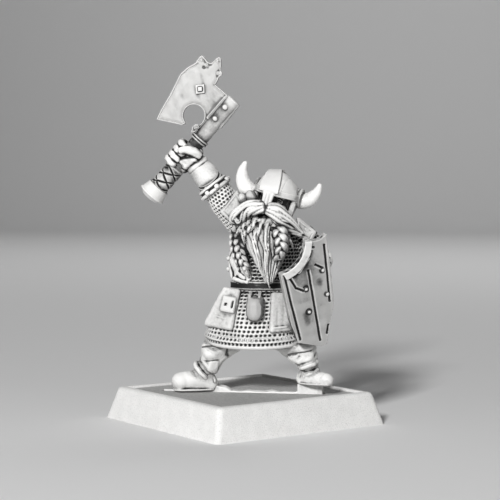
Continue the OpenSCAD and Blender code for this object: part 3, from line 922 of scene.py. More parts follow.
@dataclass
class Boot:
    """A leather boot with a sole, crossed laces and a rolled cuff."""

    side: Side
    balls: Line
    cuff: Line
    sole: float

    def build(self) -> Mesh:
        """Models the boot and cuts it flat under the sole."""
        heel, middle, toe, ankle = (np.array(ball) for ball in self.balls)
        ahead = (toe - heel)[:3] / np.linalg.norm((toe - heel)[:3])
        across = np.array((-ahead[1], ahead[0], 0.0))
        back, front = heel.copy(), toe.copy()
        back[:3] -= ahead * heel[3] * 0.8
        front[:3] += ahead * toe[3] * 0.92
        putty = Putty()
        putty.strand([back, heel, middle, toe, front], up=(0, 0, 1), around=28, rings=40, flat=0.95,
                     round_ends=0.2)
        putty.hull([heel, middle, ankle])
        putty.ball(toe[:3] - ahead * 0.05, toe[3] * 1.1, (1, 1, 0.86))
        welt = [(p[0], p[1], self.sole + 0.2, p[3] + 0.02) for p in (back, heel, middle, toe, front)]
        putty.strand(welt, up=(0, 0, 1), around=20, rings=40, flat=0.2, round_ends=0.2)
        for step, slant in ((0.02, -0.5), (0.14, 0.45), (0.34, 0.35)):
            mid = heel[:3] * (1 - step) + toe[:3] * step
            wide = 1.06 + 0.5 * step
            arch = [(*(mid + across * wide * math.cos(a) + ahead * slant * math.cos(a)
                       + np.array((0, 0, wide * 1.15 * math.sin(a)))), 0.16) for a in np.linspace(0.1, 3.04, 9)]
            putty.strand(arch, up=(0, 0, 1), around=10, rings=26, flat=0.8)
        putty.cut((0, 0, self.sole), (0, 0, -1))
        return press(putty.fused(0.055, 3), lambda p, n: 0.03 * ripple(p, 1.6, 11) * (p[:, 2] > self.sole + 0.3))

    def rolled_cuff(self) -> Mesh:
        """Models the turned-down top of the boot."""
        low, high = (np.array(ball) for ball in self.cuff)
        tilt = aim(low[:3], high[:3])
        putty = Putty()
        putty.hull([low - (0, 0, 0, 0.12), high - (0, 0, 0, 0.12)])
        putty.place = tilt
        tall = float(np.linalg.norm((high - low)[:3]))
        for rise, radius, thick in ((-0.1, low[3] - 0.16, 0.34), (tall + 0.22, high[3] - 0.2, 0.4)):
            putty.hoop((0, 0, rise), (radius, radius), thick)
        return press(putty.fused(0.055, 3), lambda p, n: 0.045 * ripple(p, 1.1, 12 + self.side.value))

    def dress(self) -> None:
        """Settles the boot and its cuff."""
        name = self.side.word + "_boot"
        settle(name, self.build(), Paints.LEATHER, fine=0.09, broad=0.5)
        settle(name + "_cuff", self.rolled_cuff(), Paints.LEATHER, fine=0.07, broad=0.3)


@dataclass
class TrouserLeg:
    """Loose trousers that crease behind the knee and gather into the boot."""

    side: Side
    line: Line
    seed: int

    def build(self) -> Mesh:
        """Models the leg, then works its folds in."""
        putty = Putty()
        full = [(x, y, z, r * 1.08) for x, y, z, r in self.line]
        for upper, lower in zip(full, full[1:]):
            putty.hull([upper, lower])
        knee = np.array(self.line[1])
        putty.ball(knee[:3] + (0, -0.35, 0), knee[3] * 0.94, (1, 1, 0.8))
        mesh = putty.fused(0.07, 6)

        def folds(points: Array, normals: Array) -> Array:
            """Deep narrow creases between soft swells."""
            drawn = points * (0.55, 0.55, 1.25)
            swell = ripple(drawn, 2.2, self.seed)
            crease = np.exp(-(ripple(drawn, 3.0, self.seed + 1, 5) / 0.3)**2)
            gather = ease(knee[2] - 0.2, knee[2] - 1.2, points[:, 2])
            around = np.arctan2(points[:, 1] - knee[1], points[:, 0] - knee[0])
            return (0.12 * swell - 0.2 * crease * (1 - 0.5 * gather)
                    + 0.05 * gather * np.sin(7 * around + 1.5 * swell) + 0.03)

        return press(mesh, folds)

    def dress(self) -> None:
        """Settles the leg."""
        # The tops of the legs, under the mail skirt, get painted shade.
        settle(self.side.word + "_trouser_leg", self.build(), Paints.CLOTH, fine=0.05, broad=0.16,
               shade=lambda p: 0.6 * ease(9.9, 10.8, p[:, 2]))


# ---- mail ----


@dataclass(frozen=True)
class Mail:
    """Rows of small rings, sculpted as staggered pits in a ridged skin."""

    pitch: float = 0.5
    row: float = 0.44
    depth: float = 0.2

    def knit(self, rings: Array) -> Array:
        """Raises mail on a skin given as a stack of closed rings.

        Args:
            rings: places in millimetres, shape (rings, around, 3).

        Returns:
            The places, moved along the skin's normals.
        """
        down, round_it = np.gradient(rings, axis=0), (np.roll(rings, -1, 1) - np.roll(rings, 1, 1)) / 2
        out = np.cross(round_it, down)
        length = np.linalg.norm(out, axis=2, keepdims=True)
        out /= np.maximum(length, 1e-9)
        inside = rings - rings.mean(axis=1, keepdims=True)
        out *= np.sign((out * inside).sum())
        girth = np.linalg.norm(round_it, axis=2).sum(axis=1)
        run = np.concatenate([[0], np.cumsum(np.linalg.norm(np.diff(rings, axis=0), axis=2).mean(axis=1))])
        course = np.floor(run / self.row).astype(int)
        count = np.array([max(6, round(girth[course == c].mean() / self.pitch)) for c in course])
        u = (np.linspace(0, 1, rings.shape[1], endpoint=False)[None, :] * count[:, None]
             + 0.5 * (course % 2)[:, None])
        b = run / self.row - course - 0.5
        link = np.floor(u)
        jitter = np.sin(link * 78.233 + course[:, None] * 37.719) * 43.7585
        jitter -= np.floor(jitter)
        a = u - link - 0.5 + 0.3 * (jitter - 0.5)
        reach = np.sqrt((a * self.pitch / (0.135 + 0.055 * jitter))**2 + ((b[:, None] * self.row) / 0.135)**2)
        pit = np.exp(-reach**2.6)
        ridge = 0.014 * np.cos(2 * math.pi * (b[:, None] - 0.5)) - 0.01 * np.cos(2 * math.pi * a)
        fade = ease(0.0, 0.25, np.minimum(run, run[-1] - run))[:, None] * (length[..., 0] > 1e-6)
        return rings + ((ridge - self.depth * pit) * fade)[..., None] * out

    def tube(self, line: Line, rows: int, around: int, close: float, seed: int = 3) -> Mesh:
        """Models a mail-covered limb.

        Args:
            line: rows of x, y, z and radius.
            rows: rings along the limb.
            around: vertices in each ring.
            close: share of the limb over which each end closes.
            seed: picks the folds.

        Returns:
            The limb's mesh in millimetres.
        """
        path = smooth_line(line, rows)
        core, radius = path[:, :3], path[:, 3]
        run = np.linspace(0, 1, rows)
        end = np.sqrt(np.clip(1 - (1 - np.clip(np.minimum(run, 1 - run) / close, 0, 1))**2, 0, 1))
        ahead = np.gradient(core, axis=0)
        ahead /= np.linalg.norm(ahead, axis=1)[:, None]
        side = np.cross(ahead, np.array((0, -1, 0.1)))
        side /= np.linalg.norm(side, axis=1)[:, None]
        front = np.cross(side, ahead)
        angle = np.linspace(0, 2 * math.pi, around, endpoint=False)
        rim = core[:, None] + (radius * end)[:, None, None] * (
            np.cos(angle)[None, :, None] * side[:, None] + np.sin(angle)[None, :, None] * front[:, None])
        sway = ripple(rim.reshape(-1, 3), 2.6, seed).reshape(rows, around, 1)
        rim = rim + 0.09 * sway * (rim - core[:, None]) / np.maximum(radius * end, 0.2)[:, None, None]
        return skin(self.knit(rim))


def skin(rings: Array) -> Mesh:
    """Makes one closed mesh from a stack of rings, capped at both ends."""
    bm = bmesh.new()
    wrap(bm, rings)
    bmesh.ops.holes_fill(bm, edges=[e for e in bm.edges if e.is_boundary], sides=0)
    bmesh.ops.recalc_face_normals(bm, faces=bm.faces)
    return as_mesh(bm, "skin")


def ovals(stack: Sequence[tuple], rows: int, around: int) -> Array:
    """Lofts a skin through ovals.

    Args:
        stack: rows of centre x, y, z, half width and half depth, from low to high.
        rows: rings in the skin.
        around: vertices in each ring.

    Returns:
        The rings, shape (rows, around, 3).
    """
    path = smooth_line(stack, rows)
    angle = np.linspace(0, 2 * math.pi, around, endpoint=False)
    x = path[:, :1] + path[:, 3:4] * np.cos(angle)[None]
    y = path[:, 1:2] + path[:, 4:5] * np.sin(angle)[None]
    z = np.repeat(path[:, 2:3], around, axis=1)
    return np.stack([x, y, z], axis=2)


@dataclass
class MailCoat:
    """The mail coat: its skirt, rolled hem and body."""

    hem: tuple[float, float] = (6.3, 4.4)
    mail: Mail = Mail()

    def skirt(self) -> Mesh:
        """Models the flared skirt, lower in front than behind."""
        rings = ovals([(1.6, -0.6, 11.0, self.hem[0] - 0.2, self.hem[1] - 0.2), (1.8, -0.6, 12.9, 5.75, 3.95),
                       (2.15, -0.5, 14.8, 4.65, 3.4), (2.4, -0.4, 16.6, 3.6, 2.85)], 112, 540)
        sag = ease(15.5, 11.0, rings[..., 2])
        rings[..., 2] += sag * math.tan(math.radians(10)) * (rings[..., 1] + 0.6)
        sway = ripple(rings.reshape(-1, 3) * (1, 1, 0.25), 4.5, 21).reshape(rings.shape[:2])
        rings[..., :2] += ((0.16 * sag * sway)[..., None]
                           * (rings - rings.mean(axis=1, keepdims=True))[..., :2] / 4)
        return skin(self.mail.knit(rings))

    def rolled_hem(self) -> Mesh:
        """Models the smooth roll along the hem with its row of small dots."""
        putty = Putty(HEM)
        putty.hoop((0, 0, 0.1), (self.hem[0] - 0.42, self.hem[1] - 0.42), 0.3, tall=0.62, square=0.5, steps=120)
        for rise, fall, thick in ((0.22, 0.14, 0.2), (-0.4, 0.36, 0.36)):
            putty.hoop((0, 0, rise), (self.hem[0] - fall, self.hem[1] - fall), thick, steps=120)
        disc = (self.hem[0] + self.hem[1]) / 2 - 0.7
        putty.drum((0, 0, 0.1), disc, 0.5, spin=Matrix.Diagonal((self.hem[0] / 5.35, self.hem[1] / 5.35, 1, 1)))
        mesh = putty.fused(0.085, 2)

        def dots(points: Array, normals: Array) -> Array:
            """Two rows of small punched dots between the ridges."""
            around = np.arctan2(points[:, 1] / self.hem[1], points[:, 0] / self.hem[0])
            sunk = np.zeros(len(points))
            for rise, shift in ((0.52, 0.0), (-0.06, 0.5)):
                step = (around * 36 / math.pi + shift) % 1 - 0.5
                reach = np.sqrt((step * 0.47 / 0.14)**2 + ((points[:, 2] - rise) / 0.14)**2)
                sunk = np.maximum(sunk, np.exp(-reach**2.6))
            return -0.22 * sunk

        return press(mesh, dots, HEM)

    def body(self) -> Mesh:
        """Models the chest and back."""
        rings = ovals([(2.4, -0.4, 16.3, 3.4, 2.65), (2.7, -0.4, 18.4, 3.75, 2.85), (3.1, -0.4, 20.8, 4.1, 2.95),
                       (3.2, -0.5, 22.6, 4.2, 2.8), (3.25, -0.55, 24, 3.8, 2.45), (3.3, -0.6, 24.9, 2.4, 1.6),
                       (3.3, -0.6, 25, 1.2, 0.8)], 136, 380)
        return skin(self.mail.knit(rings))

    def dress(self) -> None:
        """Settles the skirt, the hem and the body."""
        # The skirt's top, under the belt, gets painted shade.
        settle("mail_skirt", self.skirt(), Paints.MAIL,
               fine=0.07, broad=0.8, shade=lambda p: 0.5 * ease(15.2, 16.4, p[:, 2]))
        settle("mail_hem", self.rolled_hem(), Paints.HEM, fine=0.07, broad=0.8)
        # The torso's top, under the beard and the head, gets painted shade.
        settle("torso", self.body(), Paints.MAIL,
               fine=0.07, broad=0.8, shade=lambda p: 0.6 * ease(23.4, 24.6, p[:, 2]))


# ---- belt, bags and plates ----


@dataclass
class WaistBelt:
    """A broad leather belt with a plain buckle and studs."""

    at: Point = (2.4, -0.4, 16.95)
    half: tuple[float, float] = (3.7, 2.9)

    def build(self) -> Mesh:
        """Models the belt."""
        putty = Putty()
        putty.hoop(self.at, self.half, 0.2, tall=0.42, square=0.45, steps=96)
        for edge in (-0.36, 0.36):
            putty.hoop(
                (self.at[0], self.at[1], self.at[2] + edge), (self.half[0] + 0.08, self.half[1] + 0.08), 0.15,
                steps=96)
        return putty.fused(0.062, 1)

    def dress(self) -> None:
        """Settles the belt."""
        settle("waist_belt", self.build(), Paints.LEATHER)


@dataclass
class BeltPouch:
    """A small drawstring pouch hung from the belt."""

    def build(self) -> Mesh:
        """Models the pouch, its neck, its flap and its two straps."""
        putty = Putty()
        putty.hull([(2.2, -4.75, 13.7, 1.05), (2.2, -4.65, 14.6, 1.08), (1.75, -4.5, 15.3, 0.55),
                    (2.7, -4.5, 15.3, 0.55)])
        for x in (1.6, 2.75):
            putty.strand([(x, -5.0, 15.1, 0.2), (x, -4.75, 15.8, 0.2), (x, -4.1, 16.4, 0.2)], flat=0.6, rings=20)
        mesh = putty.fused(0.05, 2)

        def gathers(points: Array, normals: Array) -> Array:
            """Soft pleats below the neck."""
            around = np.arctan2(points[:, 1] + 4.8, points[:, 0] - 2.2)
            return 0.02 * np.sin(9 * around) * ease(13.2, 14.2, points[:, 2]) * ease(15.2, 14.5, points[:, 2])

        return press(mesh, gathers)

    def dress(self) -> None:
        """Settles the pouch."""
        settle("belt_pouch", self.build(), Paints.DARK_LEATHER)


@dataclass
class HipSatchel:
    """A flat satchel at the right hip, with a flap, a banded foot and a buckled strap."""

    corners: Line = ((-1.75, -3, 16.4, 0.34), (-0.1, -3.5, 16.2, 0.34), (-3.45, -2.75, 12.55, 0.4),
                                (-0.85, -4.3, 11.95, 0.4), (-2.2, -2.2, 15.6, 0.5), (-3.9, -2.5, 12.3, 0.5))

    def build(self) -> Mesh:
        """Models the bag with raised piping round its face."""
        putty = Putty()
        putty.hull(self.corners)
        a, b, c, d = (np.array(corner[:3]) for corner in self.corners[:4])
        out = np.cross(b - a, c - a)
        out = out / np.linalg.norm(out) * (-1 if out[1] > 0 else 1)
        low, high = c + (a - c) * 0.2, d + (b - d) * 0.2
        putty.strand([(*(low + out * 0.3), 0.14), (*((low + high) / 2 + out * 0.36), 0.14),
                      (*(high + out * 0.3), 0.14)], around=10, rings=16)
        return press(putty.fused(0.055, 2), lambda p, n: 0.015 * ripple(p, 1.0, 31))

    def buckle(self) -> Mesh:
        """Models the flap's plate with its slot."""
        putty = Putty()
        putty.hull(
            [(-1.6, -3.6, 15.5, 0.3), (-0.4, -4, 15.3, 0.3), (-1.9, -3.9, 14.1, 0.3), (-0.6, -4.4, 13.9, 0.3)])
        mesh = putty.fused(0.045, 3)

        def slots(points: Array, normals: Array) -> Array:
            """An upright slot and a rivet hole."""
            cut = np.zeros(len(points))
            for x, z, wide, tall in ((-1.5, 14.75, 0.15, 0.16), (-0.62, 14.75, 0.14, 0.4)):
                lean = x - 0.16 * (z - points[:, 2])
                cut -= 0.34 * np.exp(-(((points[:, 0] - lean) / wide)**2 + ((points[:, 2] - z) / tall)**4))
            return cut * (normals[:, 1] < -0.3)

        return press(mesh, slots)

    def dress(self) -> None:
        """Settles the satchel and its flap."""
        settle("hip_satchel", self.build(), Paints.BAG, fine=0.06, broad=0.35)
        settle("satchel_buckle", self.buckle(), Paints.BAG, fine=0.05, broad=0.4)


@dataclass
class SidePlates:
    """The leather tasset on the left, and the studded vest on the right."""

    def tasset(self) -> Mesh:
        """Models a folded leather tasset hung from a strap."""
        putty = Putty()
        putty.hull([(4.35, -3.75, 15.9, 0.32), (5.65, -3.1, 15.8, 0.32), (4.25, -4.65, 11.75, 0.34),
                    (6.25, -3.85, 11.95, 0.34)])
        putty.strand([(4.3, -4.85, 12, 0.14), (5.25, -4.6, 12.05, 0.14), (6.2, -4.1, 12.15, 0.14)], rings=16)
        return press(putty.fused(0.055, 2), lambda p, n: 0.02 * ripple(p * (1.6, 1.6, 0.5), 1.4, 41))

    def vest(self) -> Mesh:
        """Models the vest as overlapping quilted strips."""
        putty = Putty()
        putty.hull([(0.1, -2.2, 17.5, 0.7), (-0.6, -1.8, 20, 0.8), (0.2, -1.9, 22.6, 0.8), (1, -2.7, 18.5, 0.7)])
        putty.strand([(-1, -1.7, 21.4, 0.28), (-1.25, -1.9, 19.6, 0.3), (-0.85, -2.2, 17.6, 0.28)], flat=0.8,
                     rings=24)
        putty.strand([(-0.9, -2.3, 17.75, 0.3), (0.1, -2.95, 17.6, 0.34), (1.3, -3.3, 17.4, 0.3)], rings=24)
        putty.strand(
            [(0.3, -2.9, 19.4, 0.42), (0.9, -3.2, 18.5, 0.5), (1.3, -3.35, 17.5, 0.34)], rings=24, flat=0.7)
        putty.strand([(-0.3, -2.6, 18.6, 0.3), (0.4, -3.1, 18.1, 0.4), (1, -3.4, 17.9, 0.3)], rings=24, flat=0.8)
        return press(putty.fused(0.055, 2), lambda p, n: 0.03 * ripple(p, 0.9, 42))

    def studs(self) -> Mesh:
        """Models the vest's two round studs, each on a washer."""
        putty = Putty()
        for z in (18.9, 20.2):
            putty.ball((-1.45, -1.95, z), 0.33)
            putty.drum((-1.36, -1.85, z), 0.4, 0.16, spin=turn(x=60, z=-50), segments=24)
        return putty.fused(0.035, 2)

    def dress(self) -> None:
        """Settles the tasset, the vest and its studs."""
        settle("left_tasset", self.tasset(), Paints.BAG, fine=0.06, broad=0.35)
        settle("vest_flank", self.vest(), Paints.LEATHER)
        settle("vest_studs", self.studs(), Paints.STEEL)


@dataclass
class Pauldron:
    """A shoulder plate with a slightly raised border."""

    side: Side
    balls: Line

    def build(self) -> Mesh:
        """Models the plate and its border."""
        putty = Putty()
        putty.hull(self.balls)
        corners = [np.array(ball[:3]) for ball in self.balls[:4]]
        middle = sum(corners) / len(corners)
        heart = sum(np.array(ball[:3]) for ball in self.balls) / len(self.balls)
        out = (middle - heart) / np.linalg.norm(middle - heart)
        for start, end in zip(corners, corners[1:] + corners[:1]):
            a, b = (point + (middle - point) * 0.05 + out * 0.24 for point in (start, end))
            putty.strand([(*a, 0.13), (*((a + b) / 2 + out * 0.04), 0.13), (*b, 0.13)], around=10, rings=16)
        putty.ball(middle + out * 0.1, 0.5, (1, 0.5, 1))
        return putty.fused(0.055, 2)

    def dress(self) -> None:
        """Settles the plate."""
        settle(self.side.word + "_pauldron", self.build(), Paints.STEEL, fine=0.06, broad=0.3)


# ---- arms ----


@dataclass
class AxeArm:
    """The raised right arm: mail sleeve, flared cuff, gauntlet and fist."""

    shoulder: Point = (-0.5, 0.1, 25)
    wrist: Point = (-3.5, -0.5, 28.8)
    hand: Point = (-6, -0.9, 32.2)

    def sleeve(self) -> Mesh:
        """Models the mail sleeve."""
        a, b = np.array(self.shoulder), np.array(self.wrist)
        way = (b - a) / np.linalg.norm(b - a)
        line = [(*(a - way * 1.9), 1.7), (*a, 1.98), (*((a + b) / 2), 1.92), (*b, 1.72), (*(b + way * 1.5), 1.5)]
        return Mail().tube(line, 96, 150, close=0.14)

    def cuff(self) -> Mesh:
        """Models the flared cuff with rolled rims and three knobs."""
        putty = Putty(aim(self.wrist, self.hand))
        putty.drum((0, 0, 0.15), 2.0, 0.95, 1.78, bevel=0.1)
        putty.hoop((0, 0, -0.22), (1.94, 1.94), 0.26)
        putty.hoop((0, 0, 0.42), (1.78, 1.78), 0.24)
        for a in (-150, -125, -30, 10, 60, 110, 170):
            putty.ball((2.08 * math.cos(math.radians(a)), 2.08 * math.sin(math.radians(a)), -0.05), 0.34)
        return putty.fused(0.055, 1)

    def gauntlet(self) -> Mesh:
        """Models the leather gauntlet with a strap, a seam and creases at the wrist."""
        putty = Putty(aim(self.wrist, self.hand))
        putty.drum((0, 0, 2.2), 1.72, 3.6, 1.33, bevel=0.15)
        putty.hoop((0, 0, 3.5), (1.34, 1.34), 0.16, tall=0.3)
        return press(putty.fused(0.06, 2), lambda p, n: 0.05 * ripple(p * (0.7, 0.7, 1.2), 1.9, 51)
              - 0.16 * np.exp(-((p[:, 2] - 1.35 + 0.45 * p[:, 0]) / 0.1)**2), aim(self.wrist, self.hand))

    def fist(self) -> Mesh:
        """Models the fist: a palm beside the haft, four curled fingers and the thumb across them."""
        putty = Putty(AXE)
        putty.hull([(0.75, 0.1, 4.8, 0.8), (0.75, 0.1, 7.2, 0.8), (0.2, 0.85, 4.9, 0.55), (0.2, 0.85, 7.2, 0.55),
                    (1, -0.2, 6.2, 0.85)])
        for t, thick in ((4.45, 0.42), (5.25, 0.46), (6.1, 0.47), (6.95, 0.44)):
            putty.strand([(0.7, 1.0, t + 0.1, thick), (-0.6, 1.3, t + 0.05, thick), (-1.34, 0.6, t, thick),
                          (-1.46, -0.45, t - 0.05, thick), (-0.9, -1.2, t - 0.1, thick),
                          (0.15, -1.3, t - 0.15, thick * 0.9)], away=(0, 0, t), around=18, rings=34, flat=0.86,
                         square=0.85)
            putty.ball((-1.5, 0.25, t), thick * 0.98, (0.75, 0.8, 1))
        putty.strand([(1.5, -0.6, 7, 0.62), (0.75, -1.3, 7.15, 0.6), (-0.15, -1.65, 6.75, 0.5),
                      (-0.85, -1.7, 5.95, 0.38)], rings=30, around=18)
        putty.hull(
            [(1.5, -0.4, 6.9, 0.62), (1.2, -0.85, 6.5, 0.6), (0.95, -0.95, 5.2, 0.5), (0.3, -1.05, 5.3, 0.42)])
        return press(putty.fused(0.065, 2), lambda p, n: 0.02 * ripple(p, 0.8, 52))

    def dress(self) -> None:
        """Settles the four pieces of the arm."""
        settle("right_mail_sleeve", self.sleeve(), Paints.MAIL, fine=0.06, broad=0.5)
        settle("right_gauntlet_cuff", self.cuff(), Paints.LEATHER)
        settle("right_gauntlet", self.gauntlet(), Paints.LEATHER)
        settle("right_fist", self.fist(), Paints.LEATHER)


@dataclass
class ShieldArm:
    """The left arm behind the shield, and the fist that carries the shield's peg."""

    line: Line = ((7, -0.6, 24.1, 1.3), (7.2, -0.7, 23.4, 1.58), (8.7, -0.8, 21.5, 1.5),
                             (9.75, -0.9, 19.9, 1.3), (9.2, -1.9, 18.5, 1.12), (8, -2.9, 17.1, 0.92))

    def arm(self) -> Mesh:
        """Models the mail-covered arm."""
        return Mail().tube(self.line, 110, 130, close=0.08, seed=5)

    def fist(self) -> Mesh:
        """Models the closed left fist."""
        putty = Putty()
        putty.ball((7.8, -3.1, 16.9), 0.98)
        for step in range(4):
            z = 16.2 + 0.48 * step
            putty.strand(
                [(7.2, -2.35, z, 0.28), (7.0, -3.0, z, 0.3), (7.35, -3.75, z, 0.3), (8.0, -3.85, z, 0.27)],
                rings=20, around=12)
        return putty.fused(0.05, 2)

    def dress(self) -> None:
        """Settles the arm and its fist."""
        settle("left_arm", self.arm(), Paints.MAIL, fine=0.07, broad=0.8)
        settle("left_fist", self.fist(), Paints.LEATHER)


# ---- head and hair ----


@dataclass
class Face:
    """A calm, plain face under the helmet's brow band."""

    eye_height: float = 0.95
    eye_spread: float = 0.92
    mouth_height: float = -0.85

    def skull(self) -> Mesh:
        """Models the skull, cheeks, lids, mouth and chin."""
        putty = Putty(HEAD)
        putty.hull([(0, 0.3, 1, 2.16), (0, -0.3, -0.5, 1.5)])
        putty.ball((0, -0.95, -1.35), 0.85, (1, 0.9, 0.8))
        putty.ball((0, -1.45, 1.62), 0.75, (2.2, 0.65, 0.5))
        for x in (-1, 1):
            putty.ball((x * 1.18, -1.22, 0.22), 0.62, (1, 0.8, 0.75))
            putty.ball((x * self.eye_spread, -1.58, self.eye_height), 0.33)
            for rise, reach in ((0.19, 0.1), (-0.17, -0.06)):
                putty.strand([(x * (self.eye_spread - 0.42), -1.72, self.eye_height - 0.02, 0.07),
                              (x * self.eye_spread, -1.94, self.eye_height + rise, 0.1),
                              (x * (self.eye_spread + 0.42), -1.6, self.eye_height - 0.04 + reach * 0.2, 0.07)],
                             rings=20, around=10)
            putty.strand(
                [(x * 0.35, -1.98, 1.42, 0.14), (x * 0.95, -2.08, 1.5, 0.17), (x * 1.5, -1.75, 1.36, 0.12)],
                rings=20, around=10)
        for rise, thick in ((0.1, 0.11), (-0.12, 0.14)):
            putty.strand([(-0.55, -1.7, self.mouth_height, 0.06), (0, -1.98, self.mouth_height + rise, thick),
                          (0.55, -1.7, self.mouth_height, 0.06)], rings=20, around=10)
        mesh = putty.fused(0.05, 2)

        def sockets(points: Array, normals: Array) -> Array:
            """Presses the sockets in, and parts the hair behind into locks."""
            front = normals[:, 1] < 0
            sink = np.zeros(len(points))
            for x in (-1, 1):
                across = (points[:, 0] - x * self.eye_spread) / 0.62
                rise = (points[:, 2] - self.eye_height) / 0.36
                sink -= 0.1 * np.exp(-(across**2 + rise**2)**2)
            behind = ease(0.0, 0.5, points[:, 1]) * ease(2.6, 2.2, points[:, 2])
            locks = np.abs(np.sin(9 * np.arctan2(points[:, 0], points[:, 1]) + 0.5 * np.sin(1.7 * points[:, 2])))
            return sink * front + behind * 0.2 * (locks**0.7 - 0.8)

        return press(mesh, sockets, HEAD)

    def shaded(self, points: Array) -> Array:
        """Painted shade in the eye sockets under the brow and in the mouth, so that the cheeks stay bright."""
        local = moved(points, HEAD.inverted())
        x, z, front = np.abs(local[:, 0]), local[:, 2], ease(0.2, -0.3, local[:, 1])
        socket = ease(0.74, 0.9, z) * (
            1 - 0.75 * np.exp(-(((x - self.eye_spread) / 0.3)**2 + ((z - 0.95) / 0.16)**2)))
        return front * np.maximum(socket * ease(1.7, 1.35, x), ease(-0.3, -0.6, z))

    def nose(self) -> Mesh:
        """Models the nose."""
        putty = Putty(HEAD)
        putty.strand(
            [(0, -1.9, 1.25, 0.24), (0, -2.2, 0.7, 0.26), (0, -2.45, 0.22, 0.32), (0, -2.35, 0.02, 0.26)],
            rings=24, around=16)
        for x in (-1, 1):
            putty.ball((x * 0.3, -2.1, 0.1), 0.24, (0.9, 1.1, 0.8))
        return putty.fused(0.04, 3)

    def dress(self) -> None:
        """Settles the head and nose."""
        settle("head", self.skull(), Paints.SKIN, shade=self.shaded)
        settle("nose", self.nose(), Paints.SKIN)


